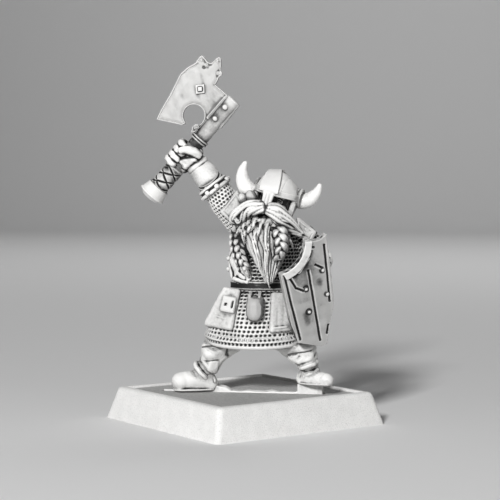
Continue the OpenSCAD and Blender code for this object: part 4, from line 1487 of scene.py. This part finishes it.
@dataclass
class Hair:
    """The beard, the drooping moustache and the two plaits."""

    locks: Sequence[Line] = (
        ((2.4, -3.6, 24.9), (1.5, -4.6, 24.6), (0.7, -4.4, 23.6), (0.3, -4, 22.4), (0.3, -3.6, 21)),
        ((2.8, -4.6, 24.8), (2.05, -5.2, 23.3), (1.8, -5.2, 21.5), (2.25, -4.9, 19.8), (3.05, -4.6, 18.2)),
        ((3.2, -4.8, 24.8), (2.6, -5.5, 23), (2.4, -5.6, 21.4), (2.8, -5.2, 19.6), (3.6, -4.8, 17.6)),
        ((3.6, -4.9, 24.8), (3.2, -5.8, 23), (3, -5.9, 21.4), (3.3, -5.4, 19.5), (3.8, -5, 17.2)),
        ((3.9, -4.9, 24.8), (3.8, -5.8, 22.9), (3.6, -5.9, 21.15), (3.8, -5.4, 19.2), (4, -5, 16.7)),
        ((4.3, -4.8, 24.6), (4.4, -5.4, 22.8), (4.3, -5.4, 21.1), (4.2, -5.1, 19.2), (4.05, -4.8, 16.9)),
        ((4.6, -4.4, 24.2), (5.35, -4.6, 22.8), (5.6, -4.6, 21.35), (5.1, -4.5, 19.7), (4.5, -4.4, 18.2)),
        ((5.1, -4, 24), (6.1, -4.2, 23), (6.4, -4.2, 21.7), (5.8, -4.2, 20.3), (5.05, -4.2, 19.2)))

    def lock(self, putty: Putty, line: Line, radius: float, seed: int, tip: float = 0.1) -> None:
        """Adds one pointed lock made of finer twisted ridges."""
        dice = np.random.default_rng(seed)
        run = np.linspace(0, 1, len(line))
        dense = smooth_line([(*spot, r) for spot, r in zip(line, run)], 13)
        wave = 0.24 * np.sin(2 * math.pi * (1.4 * dense[:, 3] + dice.uniform())) * np.sin(dense[:, 3] * math.pi)
        rows = [(x + sway, y - 0.5 * abs(sway), z, max(tip, radius * (0.74 + 0.6 * r - 1.18 * r**2.1)))
                for (x, y, z, r), sway in zip(dense, wave)]
        putty.strand(rows, away=(3.4, 0.5, 21.5), around=36, rings=72, flat=0.95, lobes=6, lobe_depth=0.17,
                     twist=dice.uniform(-0.3, 0.45), round_ends=0.1)

    def beard(self) -> Mesh:
        """Models the beard over a smooth core."""
        putty = Putty()
        chest = [(2, -3.7, 22.4, 1.3), (5, -3.7, 22.2, 1.25), (3.5, -4.1, 22.4, 1.35)]
        putty.hull([(1.7, -3.4, 24.7, 1.2), (5.2, -3.4, 24.5, 1.2), (3.4, -3.9, 24.8, 1.2), *chest])
        putty.hull([*chest, (3.1, -4.1, 19.9, 1), (4.4, -4.1, 19.8, 1), (3.85, -4.3, 17.8, 0.6)])
        for seed, line in enumerate(
                (((2.2, -4.1, 25.5), (1, -4.3, 24.7), (0.35, -4.25, 23.6), (-0.1, -3.8, 22.2)),
                ((1.5, -3.9, 25.6), (0.3, -3.8, 24.7), (-0.35, -3.6, 23.6), (-0.5, -3.2, 22.6)),
                ((4.6, -4.3, 25), (5.6, -4.2, 24), (6.35, -3.9, 22.8), (6.6, -3.6, 21.4)),
                ((3, -4.9, 25.2), (1.9, -4.9, 24.4), (1.1, -4.9, 23.3), (0.9, -4.6, 21.9)))):
            self.lock(putty, line, 0.46, 40 + seed)
        for seed, line in enumerate(self.locks[::2]):
            self.lock(putty, line, 0.42, 60 + seed)
        mesh = putty.fused(0.055, 1)
        return press(mesh, self.combed)

    def combed(self, points: Array, normals: Array) -> Array:
        """Grooves that run down the beard and draw together at its tip."""
        x, z = points[:, 0], points[:, 2]
        half = np.interp(z, (16.5, 18.0, 20.0, 22.4, 24.5, 26), (0.5, 0.8, 1.7, 2.7, 3.0, 3.0))
        across = (x - np.interp(z, (17, 20, 23), (3.95, 3.75, 3.45))) / half
        sway = across + 0.07 * np.sin(1.15 * z + 2.4 * across) + 0.03 * np.sin(2.9 * z + 5 * across)
        deep = np.abs(np.sin(math.pi * 4.0 * sway))**0.6
        fine = np.abs(np.sin(math.pi * 10.0 * sway))
        return (0.30 * (deep - 1) + 0.04 * (fine - 1)) * (normals[:, 1] < 0.2)

    def moustache(self, side: Side) -> Mesh:
        """Models one half of the moustache: overlapping locks that droop and curl at the end."""
        putty = Putty()
        if side is Side.RIGHT:
            lines = (
                ((3.7, -5.2, 26.55), (2.1, -5, 26.7), (0.95, -4.4, 26.4), (-0.25, -3.9, 25.6),
                (-0.65, -3.6, 24.8), (0, -3.9, 24.4), (0.5, -4.1, 24.9)),
                ((3.7, -5.3, 26.35), (2.3, -5.1, 26.2), (1.35, -4.6, 25.8), (0.7, -4.2, 24.9),
                (0.2, -4.2, 24.7), (-0.1, -4.1, 25.2), (0.3, -4.1, 25.4)),
                ((3.3, -5.1, 26.5), (2.2, -4.9, 26.45), (1.1, -4.4, 26.05), (0.25, -4, 25.3),
                (-0.1, -3.7, 24.7)))
        else:
            lines = (
                ((3.6, -5.2, 26.55), (4.9, -5.1, 26.3), (5.8, -4.7, 25.4), (6.6, -4.2, 24.5), (7.4, -3.8, 23.6),
                (8, -3.8, 23.3)), ((3.6, -5.3, 26.4), (4.5, -5.2, 25.7), (5.3, -4.9, 24.7), (6.2, -4.4, 23.9),
                (7.1, -4, 23.4), (7.8, -4, 23)), ((4, -5.2, 26.45), (4.7, -5.15, 26), (5.55, -4.8, 25.05),
                (6.4, -4.3, 24.2), (7.2, -3.9, 23.5)))
        for seed, line in enumerate(lines):
            run = np.linspace(0, 1, len(line))
            rows = [
                (*spot, 0.16 + 0.56 * math.sin(math.pi * min(1, 0.3 + 0.74 * r))**0.9) for spot,
                r in zip(line, run)]
            putty.strand(rows, away=(3.5, 0.5, 25), around=34, rings=70, flat=0.95, lobes=6, lobe_depth=0.22,
                         twist=0.35 + 0.2 * seed, round_ends=0.08)
        return putty.fused(0.05, 1)

    def plait(self, putty: Putty, line: Line, radius: float, turns: float) -> None:
        """Adds three strands woven over one another along a line."""
        core = smooth_line([(*spot, 0) for spot in line], 60)[:, :3]
        run = np.linspace(0, 1, 60)
        taper = radius * (1.0 - 0.35 * run)
        for strand in range(3):
            phase = 2 * math.pi * (turns * run + strand / 3)
            x = core[:, 0] + 0.62 * taper * np.sin(phase)
            y = core[:, 1] - 0.42 * taper * np.sin(2 * phase)
            putty.strand(np.column_stack([x, y, core[:, 2], 0.62 * taper]), around=20, rings=90, lobes=4,
                         lobe_depth=0.14, round_ends=0.06)

    def braid(self, side: Side) -> Mesh:
        """Models the plait on one side, with a bound end."""
        putty = Putty()
        if side is Side.RIGHT:
            self.plait(
                putty, ((0.55, -3.5, 23.9), (0.35, -3.85, 22.3), (0.5, -4, 20.8), (1, -4, 19.3)), 0.84, 1.9)
            self.plait(
                putty, ((-0.25, -3.2, 23.7), (-0.45, -3.4, 22.1), (-0.2, -3.5, 20.7), (0.3, -3.5, 19.4)), 0.68,
                1.9)
            putty.ball((0.95, -4, 19.15), 0.42, (1, 1, 1.1))
            putty.strand([(0.95, -4, 19.2, 0.3), (1.15, -4, 18.5, 0.26), (1.3, -3.9, 18, 0.1)], lobes=5,
                         lobe_depth=0.3, around=20)
        else:
            self.plait(
                putty, ((5, -4.7, 24.1), (5.35, -5.3, 22.9), (5.5, -5.4, 21.6), (5, -5.1, 20.2)), 0.92, 1.4)
            putty.hoop((5.1, -5.05, 20.3), (0.4, 0.34), 0.16)
            putty.strand([(5.2, -4.9, 20.2, 0.32), (5, -4.8, 19.6, 0.26), (4.85, -4.6, 19.1, 0.1)], lobes=5,
                         lobe_depth=0.3, around=20)
        return putty.fused(0.05, 1)

    def dress(self) -> None:
        """Settles the beard, the moustache and the plaits."""
        def dark(points: Array) -> Array:
            """Painted shade at the beard's top, below the mouth."""
            return 0.9 * ease(24.9, 25.5, points[:, 2]) * ease(1.5, 0.8, np.abs(points[:, 0] - 3.7))

        settle("beard", self.beard(), Paints.HAIR, fine=0.15, broad=1.2, shade=dark)
        for side in Side:
            settle(side.word + "_moustache", self.moustache(side), Paints.HAIR, fine=0.06, broad=0.3)
            settle(side.word + "_braid", self.braid(side), Paints.HAIR, fine=0.06, broad=0.4)


# ---- helmet ----


@dataclass
class Helmet:
    """A banded helmet with a nasal, cheek guards and two ringed horns."""

    profile: Line = ((0, 1.5, 2.75), (0, 2.1, 2.74), (-0.1, 2.75, 2.47), (-0.3, 3.6, 1.82),
                                (-0.5, 4.15, 1.05), (-0.6, 4.45, 0.4))

    def bowl(self) -> Mesh:
        """Models the bowl, hammered lightly, with a seam down each side panel."""
        rows = smooth_line([(x, 0, z, r) for x, z, r in self.profile], 60)
        angle = np.linspace(0, 2 * math.pi, 160, endpoint=False)
        rings = np.stack([rows[:, :1] + rows[:, 3:] * np.cos(angle), rows[:, 3:] * np.sin(angle),
                          np.repeat(rows[:, 2:3], 160, 1)], axis=2)
        mesh = skin(moved(rings.reshape(-1, 3), HEAD).reshape(rings.shape))

        def hammered(points: Array, normals: Array) -> Array:
            """Shallow dents, and a line beside the crest band."""
            line = np.exp(-((np.abs(points[:, 0] + 0.2) - 1.22) / 0.07)**2) * (points[:, 2] > 2.2)
            return 0.015 * ripple(points, 1.4, 71) - 0.03 * line

        return press(mesh, hammered, HEAD)

    def crest(self) -> Mesh:
        """Models the raised band over the crown."""
        putty = Putty(HEAD)
        arch = [
            (0, -2.88, 1.7), (-0.02, -2.86, 2.2), (-0.12, -2.52, 2.9), (-0.28, -1.88, 3.68), (-0.5, -0.95, 4.3),
            (-0.58, 0, 4.52), (-0.5, 0.95, 4.3), (-0.28, 1.88, 3.68), (-0.12, 2.52, 2.9), (-0.02, 2.86, 2.2),
            (0, 2.88, 1.7)]
        half = [1.22, 1.22, 1.18, 1.08, 0.9, 0.82, 0.9, 1.08, 1.18, 1.22, 1.22]
        centre = (-0.2, 0, 1.2)
        putty.strand(
            [(x - 0.38, y, z - 0.04, h) for (x, y, z), h in zip(arch, half)], away=centre, flat=0.12,
            square=0.35, rings=90, around=28, round_ends=0.0)
        return putty.fused(0.058, 1)

    def brow_band(self) -> Mesh:
        """Models the brow band with a bead along its lower edge."""
        putty = Putty(HEAD)
        putty.hoop((0, 0, 1.85), (2.72, 2.72), 0.2, tall=0.36, square=0.4, steps=120)
        putty.hoop((0, 0, 1.58), (2.8, 2.8), 0.14, steps=120)
        return putty.fused(0.055, 1)

    def nasal(self) -> Mesh:
        """Models the nasal: a ridged tongue that flares at its foot."""
        putty = Putty(HEAD)
        putty.plate([(-1.1, 1.95), (-0.95, 1.2), (-0.88, 0.4), (-0.98, 0.05), (-0.6, -0.15), (0.0, -0.15),
                     (0.38, 0.05), (0.28, 0.4), (0.35, 1.2), (0.5, 1.95)], 2.6, 3.02, bevel=0.14)
        putty.strand([(-0.3, -2.94, 1.7, 0.2), (-0.3, -3, 0.9, 0.2), (-0.3, -3, 0.1, 0.2)], rings=20, flat=0.8)
        return putty.fused(0.04, 4)

    def cheek_guard(self, side: Side) -> Mesh:
        """Models one cheek guard with a raised border."""
        s = side.value
        putty = Putty(HEAD)
        putty.hull([(s * 2.42, -0.95, 1.3, 0.26), (s * 2.42, 0.4, 1.2, 0.26), (s * 2.2, -0.95, -1.5, 0.26)])
        rim = [(s * 2.66, -0.95, 1.35), (s * 2.66, 0.42, 1.25), (s * 2.42, -0.95, -1.55)]
        for start, end in zip(rim, rim[1:] + rim[:1]):
            putty.strand([(*start, 0.12), (*end, 0.12)], rings=14, around=10)
        return putty.fused(0.045, 2)

    def horn(self, line: Line) -> Mesh:
        """Models a horn with growth rings that fade towards its point."""
        putty = Putty()
        putty.strand(line, around=40, rings=90, round_ends=0.05)
        mesh = putty.mesh()
        start, end = np.array(line[0][:3]), np.array(line[-1][:3])
        long = float(np.linalg.norm(end - start))

        def growth(points: Array, normals: Array) -> Array:
            """Fine rings and long shallow flutes."""
            away = np.linalg.norm(points - start, axis=1)
            rings = np.sin(away * 2 * math.pi / 0.42 + 0.6 * ripple(points, 1.2, 73))
            return (0.008 * rings + 0.02 * ripple(points * (2.2, 2.2, 0.4), 1.0, 74)) * ease(
                long * 0.95, long * 0.3, away)

        return press(mesh, growth)

    def collar(self, side: Side) -> Mesh:
        """Models the ribbed cup at the foot of a horn."""
        putty = Putty(HEAD @ Matrix.Translation((side.value * 2.3, 0.2, 1.9)) @ turn(y=side.value * 90))
        putty.drum((0, 0, 0.3), 1.06, 0.7, bevel=0.1)
        for rise in (0.1, 0.5):
            putty.hoop((0, 0, rise), (0.96, 0.96), 0.22)
        if side is Side.RIGHT:
            putty.place = UNTURNED
            for at, radius in (((1.5, -3.3, 27.75), 0.82), ((0.55, -3.4, 27.55), 0.66)):
                putty.ball(at, radius, (0.85, 1, 1), turn(y=-20))
        return putty.fused(0.05, 1)

    def dress(self) -> None:
        """Settles every part of the helmet."""
        horns = {Side.RIGHT: [(1.7, -2.6, 28.1, 1), (0.85, -2.6, 28.8, 1), (0.4, -2.6, 29.7, 0.88),
                              (0.36, -2.6, 30.8, 0.64), (0.6, -2.6, 31.6, 0.38), (0.8, -2.6, 32.05, 0.2)],
                 Side.LEFT: [(6.8, -1.9, 27.3, 1), (7.8, -1.9, 27.2, 0.98), (8.6, -1.9, 27.5, 0.86),
                             (9.25, -1.9, 28.15, 0.64), (9.6, -1.9, 28.85, 0.38), (9.72, -1.9, 29.32, 0.2)]}
        for name, mesh in (("helmet_bowl", self.bowl()), ("helmet_crest", self.crest()),
                           ("helmet_brow_band", self.brow_band()), ("nasal_guard", self.nasal())):
            settle(name, mesh, Paints.STEEL, fine=0.05, broad=0.4)
        for side in Side:
            settle(side.word + "_cheek_guard", self.cheek_guard(side), Paints.STEEL, fine=0.06, broad=0.4)
            settle(side.word + "_horn_collar", self.collar(side), Paints.STEEL, fine=0.12, broad=0.6)
            settle(side.word + "_horn", self.horn(horns[side]), Paints.HORN)


# ---- axe ----


def arc(centre: Point, radius: float, first: float, last: float, steps: int) -> list[tuple[float, float]]:
    """Points along an arc, from one angle to another in degrees."""
    angles = (math.radians(first + (last - first) * step / steps) for step in range(steps + 1))
    return [(centre[0] + radius * math.cos(a), centre[1] + radius * math.sin(a)) for a in angles]


def away_from(spots: Array, a: Point, b: Point) -> Array:
    """How far each flat place lies from the stretch between two corners."""
    a, run = np.array(a, float), np.subtract(b, a, dtype=float)
    share = np.clip(((spots - a) @ run) / max(run @ run, 1e-12), 0, 1)
    return np.linalg.norm(spots - a - share[:, None] * run, axis=1)


@dataclass
class Axe:
    """A long bearded axe with a wrapped grip."""

    haft_radius: float = 0.93
    thickness: float = 0.7

    def outline(self) -> list[tuple[float, float]]:
        """The head's outline, as distance from the haft and height along it."""
        return [
            (1.1, 11.5), (0.95, 15.0), (-3.0, 14.9), (-3.15, 15.6), (-3.5, 16.35), (-3.9, 17.0), (-4.6, 17.75),
            (-4.9, 17.75), (-5.0, 17.1), (-5.1, 16.5), (-5.6, 16.35), (-6.3, 16.5), (-6.65, 16.5), (-6.7, 16.0),
            (-6.6, 15.3), (-7.0, 14.2), (-7.15, 13.0), (-6.75, 11.5), (-6.4, 10.1), (-6.1, 8.4), (-5.7, 6.9),
            (-2.85, 8.5), *arc((-2.5, 10.35), 1.36, 264.3, -55.8, 40), (-1.3, 8.5), (-0.95, 9.2), (1.0, 11.3)]

    def head(self) -> Mesh:
        """Models the head, ground to an edge, with a raised border and a cast socket round the haft."""
        outline = self.outline()
        putty = Putty(AXE)
        putty.plate(outline, -self.thickness / 2, self.thickness / 2)
        for at, radius in (((-3.5, -0.25, 16.25), 0.4), ((-4.7, -0.2, 17.35), 0.34), ((-6.3, -0.2, 16.15), 0.36),
                           ((-5.4, -0.3, 16), 0.34), ((-1.26, -0.3, 9.5), 0.4)):
            putty.ball(at, radius)
        mesh = putty.fused(0.062, 2)

        def ground(points: Array, normals: Array) -> Array:
            """A bevelled edge, a line inside it and a hollow-ground face."""
            flat = points[:, (0, 2)]
            inset = np.min([away_from(flat, a, b) for a, b in zip(outline, outline[1:] + outline[:1])], axis=0)
            face = ease(0.35, 0.75, np.abs(normals[:, 1]))
            bevel = -0.18 * ease(0.5, 0.0, inset)
            keen = -0.1 * ease(-5.6, -6.6, points[:, 0]) * (points[:, 2] < 15.5)
            pit = -0.2 * np.exp(-(((points[:, 0] + 5.45) / 0.22)**2 + ((points[:, 2] - 15.55) / 0.2)**2))
            socket = 0.16 * ease(-1.25, -1.05, points[:, 0]) * (points[:, 2] > 11.2)
            hollow = -0.03 * ease(0.9, 2.4, inset)
            return (bevel + keen + pit + socket + hollow) * face + 0.025 * ripple(points, 1.5, 91) * face

        return press(mesh, ground, AXE)

    def haft(self) -> Mesh:
        """Models the wooden haft with its grain and its butt at the top."""
        putty = Putty(AXE)
        putty.strand([(0, 0, rise, self.haft_radius) for rise in (0.02, 5, 10, 15.15)], around=64, rings=240,
                     square=0.9, round_ends=0.012)
        return press(putty.mesh(), lambda p, n: 0.007 * ripple(p * (3, 3, 0.35), 1.3, 92) - 0.01, AXE)

    def wrap(self) -> Mesh:
        """Models leather bound over the grip in crossing turns."""
        putty = Putty(AXE)
        putty.drum((0, 0, 2.4), 1.1, 3.2, bevel=0.1, segments=72)
        mesh = putty.fused(0.055, 1)

        def turns(points: Array, normals: Array) -> Array:
            """Lozenges between crossing grooves, with a band at each end."""
            around = np.arctan2(points[:, 1], points[:, 0]) / (2 * math.pi)
            run = (points[:, 2] - 0.8) / 3.2
            cut = np.zeros(len(points))
            for way in (-1, 1):
                phase = (3 * around + way * 2.6 * run) % 1 - 0.5
                cut = np.maximum(cut, np.exp(-(phase / 0.09)**2))
            middle = ease(0.04, 0.12, run) * ease(0.96, 0.88, run)
            side = ease(0.2, 0.6, np.hypot(normals[:, 0], normals[:, 1]))
            return (0.11 - 0.22 * cut * middle) * side

        return press(mesh, turns, AXE)

    def pommel(self) -> Mesh:
        """Models the flared pommel with a line above and below its widest part."""
        putty = Putty(AXE)
        putty.drum((0, 0, 0.2), 1.7, 1.38, 1.36, bevel=0.12, segments=64)
        putty.drum((0, 0, -0.7), 1.08, 0.46, 1.66, bevel=0.08, segments=64)
        putty.hoop((0, 0, -0.4), (1.6, 1.6), 0.14)
        putty.hoop((0, 0, 0.78), (1.3, 1.3), 0.13)
        return putty.fused(0.06, 1)

    def collar(self) -> Mesh:
        """Models the double ring below the head."""
        putty = Putty(AXE)
        putty.drum((0, 0, 8.575), 1.08, 0.5, bevel=0.06)
        for rise in (8.42, 8.74):
            putty.hoop((0, 0, rise), (1.04, 1.04), 0.13)
        return putty.fused(0.05, 1)

    def boss(self) -> Mesh:
        """Models a plain raised lozenge."""
        putty = Putty(AXE)
        putty.plate([(-4.85, 13.3), (-4, 14.15), (-3.15, 13.3), (-4, 12.45)], 0.2, 0.5, bevel=0.1)
        putty.plate([(-4.4, 13.3), (-4, 13.7), (-3.6, 13.3), (-4, 12.9)], 0.2, 0.62, bevel=0.08)
        return putty.fused(0.035, 1)

    def studs(self) -> Mesh:
        """Models the two rivets through the socket, domed at both ends."""
        putty = Putty(AXE)
        for rise in (11.9, 13.7):
            putty.drum((-0.1, 0, rise), 0.3, 2.2, spin=turn(x=90), segments=24)
            for face in (-1, 1):
                putty.ball((-0.1, face * 1.02, rise), 0.36, (1, 0.65, 1))
        return putty.fused(0.045, 1)

    def dress(self) -> None:
        """Settles every part of the axe."""
        def shade_to_socket(points: Array) -> Array:
            """Painted shade that deepens from the cutting edge to the socket."""
            own = moved(points, AXE.inverted())
            return 0.2 * ease(-5.5, 0.5, own[:, 0]) * ease(16.0, 13.0, own[:, 2]) * (own[:, 2] > 7.5)

        for name, mesh, paint in (
                ("axe_head", self.head(), Paints.BLADE), ("axe_haft", self.haft(), Paints.HAFT),
                ("grip_wrap", self.wrap(), Paints.LEATHER), ("axe_pommel", self.pommel(), Paints.STEEL),
                ("haft_collar", self.collar(), Paints.STEEL), ("axe_boss", self.boss(), Paints.STEEL),
                ("axe_studs", self.studs(), Paints.STEEL)):
            settle(name, mesh, paint, fine=0.05, shade=shade_to_socket)


# ---- shield ----


@dataclass
class Shield:
    """A board with a scooped top, cut grooves, a raised rim and rivets."""

    thickness: float = 0.9
    rim_width: float = 0.45
    rim_height: float = 0.2
    rivets: Line = ((-0.7, 1.0), (1.7, 2.7), (1.8, -0.45), (-0.8, -1.95))
    cuts: Sequence[Line] = (
        ((0.0, 3.12), (0.0, -5.97)), ((-3.0, 3.3), (-2.85, 0.4), (-2.45, -5.1)),
        ((2.45, 5.7), (2.25, 2.0), (2.0, -1.4)), ((-2.4, 2.83), (-1.88, 1.44), (-1.08, 0.86)),
        ((0.17, 4.75), (-1.21, 3.43)), ((1.0, 3.59), (1.74, 2.98)), ((0.5, 6.31), (0.65, 5.95), (1.06, 5.83)),
        ((1.3, -4.39), (1.0, -5.37)))

    def outline(self) -> list[tuple[float, float]]:
        """The board's outline as x and z."""
        return [
            (-3.5, 3.71), *arc((-3.3, 7.2), 3.5, -90, -3.5, 40), (0.25, 7.0), (0.7, 7.0),
            *arc((1.8, 7.9), 1.4, 221, 319, 16), (2.9, 7.0), (2.85, 3.0), (2.7, 0.7), (2.55, -1.5), (0.8, -6.7),
            (0.0, -6.9), (-2.8, -5.5), (-3.3, -2.6), (-3.4, 0.4)]

    def board(self) -> Mesh:
        """Models the board, then cuts its grooves and its plank lines."""
        putty = Putty(SHIELD)
        putty.plate(self.outline(), -self.thickness, 0.0)
        mesh = putty.fused(0.077, 1)

        def carved(points: Array, normals: Array) -> Array:
            """Grooves on the face, planks on the back and a slight unevenness."""
            flat = points[:, (0, 2)]
            face = ease(0.5, 0.8, -normals[:, 1])
            back = ease(0.5, 0.8, normals[:, 1])
            edge = 1 - np.maximum(face, back)
            cut = np.zeros(len(points))
            for line in self.cuts:
                for a, b in zip(line, line[1:]):
                    cut = np.maximum(cut, np.exp(-(away_from(flat, a, b) / 0.13)**2))
            for x, z in self.rivets:
                away = np.hypot(flat[:, 0] - x, flat[:, 1] - z)
                cut = np.maximum(cut, 0.12 * np.exp(-((away - 0.34) / 0.08)**2))
            planks = sum(np.exp(-((flat[:, 0] - x) / 0.07)**2) for x in (-2.1, -0.7, 0.7, 2))
            return (face * (0.03 * ripple(points, 1.8, 95) - 0.24 * cut)
                    + back * (0.02 * ripple(points * (3, 1, 0.4), 1.2, 96) - 0.12 * planks)
                    - 0.03 * edge * (1 + ripple(points, 0.9, 97)))

        return press(mesh, carved, SHIELD)

    def rim(self) -> Mesh:
        """Models the rounded rim round the face."""
        bm = bmesh.new()
        face = bm.faces.new([bm.verts.new((x, 0.06, z)) for x, z in self.outline()])
        ring = bmesh.ops.inset_region(bm, faces=[face], thickness=self.rim_width, depth=0, use_boundary=True,
                                      use_even_offset=True)["faces"]
        bmesh.ops.delete(bm, geom=[f for f in bm.faces if f not in set(ring)], context="FACES")
        top = corners_of(bmesh.ops.extrude_face_region(bm, geom=ring))
        bmesh.ops.translate(bm, verts=top, vec=(0, -0.06 - self.rim_height, 0))
        bmesh.ops.transform(bm, matrix=SHIELD, verts=bm.verts)
        putty = Putty()
        putty.add(bm)
        scoop = arc((-3.3, 7.2), 3.5, -88, -6, 30) + arc((-3.3, 7.2), 4.35, -8, -84, 30)
        putty.place = SHIELD
        putty.plate(scoop, -0.06, 0.12)
        return press(putty.fused(0.055, 3), lambda p, n: 0.02 * ripple(p, 1.0, 98) + 0.015, SHIELD)

    def studs(self) -> Mesh:
        """Models the domed rivets on the face."""
        putty = Putty(SHIELD)
        for x, z in self.rivets:
            putty.ball((x, 0, z), 0.28, (1, 0.9, 1))
        return putty.fused(0.03, 1)

    def straps(self) -> Mesh:
        """Models the two battens across the back, each with two nails."""
        putty = Putty(SHIELD)
        for z in (-3.05, 2.35):
            putty.block((-0.3, self.thickness + 0.06, z), (4.6, 0.38, 0.7), bevel=0.07)
            for x in (-2.3, 1.7):
                putty.ball((x, self.thickness + 0.24, z), 0.13)
        return putty.fused(0.055, 1)

    def dress(self) -> None:
        """Settles the shield's pieces."""
        for name, mesh, paint in (
                ("shield_board", self.board(), Paints.BOARD), ("shield_rim", self.rim(), Paints.STEEL),
                ("shield_studs", self.studs(), Paints.STEEL), ("shield_straps", self.straps(), Paints.WOOD)):
            settle(name, mesh, paint, body=Body.SHIELD)


class PlainParts:
    """The peg and the socket, whose shapes are right as they are."""

    @staticmethod
    def dress(frame: dict) -> None:
        """Gives the peg bare metal and the socket dark paint."""
        for name, paint in (("shield_peg", Paints.METAL), ("shield_socket", Paints.WOOD)):
            part = frame["nodes"][name]
            part.data.materials.clear()
            part.data.materials.append(paint.material())
            log.info("%s: kept, in %s", name, paint.name)


# ---- the studio ----


@dataclass
class Studio:
    """A pale sweep, soft lights and the camera."""

    target: Point = (0.00083, 0, 0.02115)
    distance: float = 0.1755
    azimuth: float = 9.4
    elevation: float = 2.2
    lens: float = 102.5

    def sweep(self) -> None:
        """Lays a pale floor that curves up behind."""
        bm = bmesh.new()
        bmesh.ops.create_grid(bm, x_segments=4, y_segments=4, size=0.9)
        rear = [e for e in bm.edges if all(v.co.y > 0.89 for v in e.verts)]
        bmesh.ops.spin(bm, geom=rear, cent=(0, 0.9, 0.3), axis=(1, 0, 0), dvec=(0, 0, 0),
                       angle=math.radians(90), steps=16, use_merge=False)
        top = [e for e in bm.edges if e.is_boundary and all(v.co.z > 0.29 for v in e.verts)]
        raised = corners_of(bmesh.ops.extrude_edge_only(bm, edges=top))
        bmesh.ops.translate(bm, verts=raised, vec=(0, 0, 1.2))
        mesh = as_mesh(bm, "sweep")
        mesh.shade_smooth()
        floor = shown("sweep", mesh)
        paper = bpy.data.materials.new("pale paper")
        paper.use_nodes = True
        shader = paper.node_tree.nodes["Principled BSDF"]
        shader.inputs["Base Color"].default_value = (0.80, 0.80, 0.80, 1)
        shader.inputs["Roughness"].default_value = 0.9
        shader.inputs["Specular IOR Level"].default_value = 0.2
        mesh.materials.append(paper)

    def light(self, name: str, place: Point, size: float, watts: float, facing: Point = None) -> None:
        """Hangs a square softbox that faces the miniature or another place."""
        lamp = bpy.data.lights.new(name, "AREA")
        lamp.size, lamp.energy = size, watts
        holder = shown(name, lamp)
        holder.location = place
        away = Vector(facing or self.target) - Vector(place)
        holder.rotation_euler = away.to_track_quat("-Z", "Y").to_euler()

    def build(self) -> None:
        """Sets the floor, the lights and the camera."""
        self.sweep()
        self.light("key", (-0.09, -0.50, 0.28), 0.08, 3.35)
        self.light("fill", (0.40, -0.40, 0.06), 0.20, 0.30)
        self.light("rim", (0.12, 0.30, 0.40), 0.20, 0.25)
        self.light("wash", (0, 0.35, 0.60), 0.40, 2.2, facing=(0, 1.1, 0.2))
        world = bpy.data.worlds.new("studio")
        world.use_nodes = True
        world.node_tree.nodes["Background"].inputs["Color"].default_value = (0.75, 0.75, 0.75, 1)
        world.node_tree.nodes["Background"].inputs["Strength"].default_value = 0.05
        bpy.context.scene.view_settings.view_transform = "Standard"
        bpy.context.scene.world = world
        lens = bpy.data.cameras.new("camera")
        lens.lens, lens.sensor_width = self.lens, 36
        lens.clip_start, lens.clip_end = 0.005, 20
        camera = shown("camera", lens)
        a, e = math.radians(self.azimuth), math.radians(self.elevation)
        back = Vector((math.sin(a) * math.cos(e), -math.cos(a) * math.cos(e), math.sin(e)))
        camera.location = Vector(self.target) + back * self.distance
        camera.rotation_euler = (-back).to_track_quat("-Z", "Y").to_euler()
        bpy.context.scene.camera = camera


def main() -> None:
    """Builds the studio, then every part of the miniature from the base up."""
    logging.basicConfig(level=logging.INFO, format="%(name)s: %(message)s")
    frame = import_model()
    Studio().build()
    SlottedBase().dress()
    CastTab().dress()
    Boot(Side.RIGHT, ((-4.1, -0.3, 4.6, 1), (-5.8, -1, 5, 1.25), (-7.5, -1.6, 4.95, 1.18), (-4.8, -0.7, 5.9, 1.1)),
         ((-5, -0.9, 6.3, 1.25), (-4.3, -0.9, 6.9, 1.3)), 3.75).dress()
    Boot(Side.LEFT, ((7.6, -0.3, 5.5, 1), (8.9, -1, 5.5, 1.12), (10.4, -1.5, 5.4, 0.95), (8.2, -0.7, 6, 1.05)),
         ((8.4, -0.8, 6.4, 1.05), (8.2, -0.9, 7.1, 1.15)), 4.75).dress()
    TrouserLeg(Side.RIGHT, ((-0.8, -0.6, 11.2, 2), (-3.5, -1.1, 8.6, 1.6), (-4, -0.9, 7.2, 1.2)), 101).dress()
    TrouserLeg(Side.LEFT, ((4.8, -0.6, 11, 2), (7.4, -1.1, 9.1, 1.68), (8.2, -0.9, 7.6, 1.2)), 104).dress()
    MailCoat().dress()
    WaistBelt().dress()
    BeltPouch().dress()
    HipSatchel().dress()
    SidePlates().dress()
    Pauldron(Side.RIGHT, ((-0.45, -1.7, 28.2, 0.28), (-2.2, -2.25, 25.9, 0.28), (-0.9, -2.7, 24.8, 0.3),
                          (0.95, -2.9, 26.2, 0.3), (0.3, -0.6, 27, 0.5), (-0.6, 0.8, 26.2, 0.5))).dress()
    Pauldron(Side.LEFT, ((7.1, -2.3, 24.95, 0.28), (9, -2.1, 23.4, 0.28), (8.6, -2.5, 22.5, 0.28),
                         (7.2, -3.2, 23.2, 0.28), (6.9, 0.3, 24.2, 0.4), (8.2, 0.3, 23, 0.4))).dress()
    AxeArm().dress()
    ShieldArm().dress()
    Face().dress()
    Hair().dress()
    Helmet().dress()
    Axe().dress()
    Shield().dress()
    PlainParts.dress(frame)
    Nooks().settle(
        [piece for piece in bpy.data.objects if piece.type == "MESH" and "hollow" in piece.data.attributes])


if __name__ == "__main__":
    main()
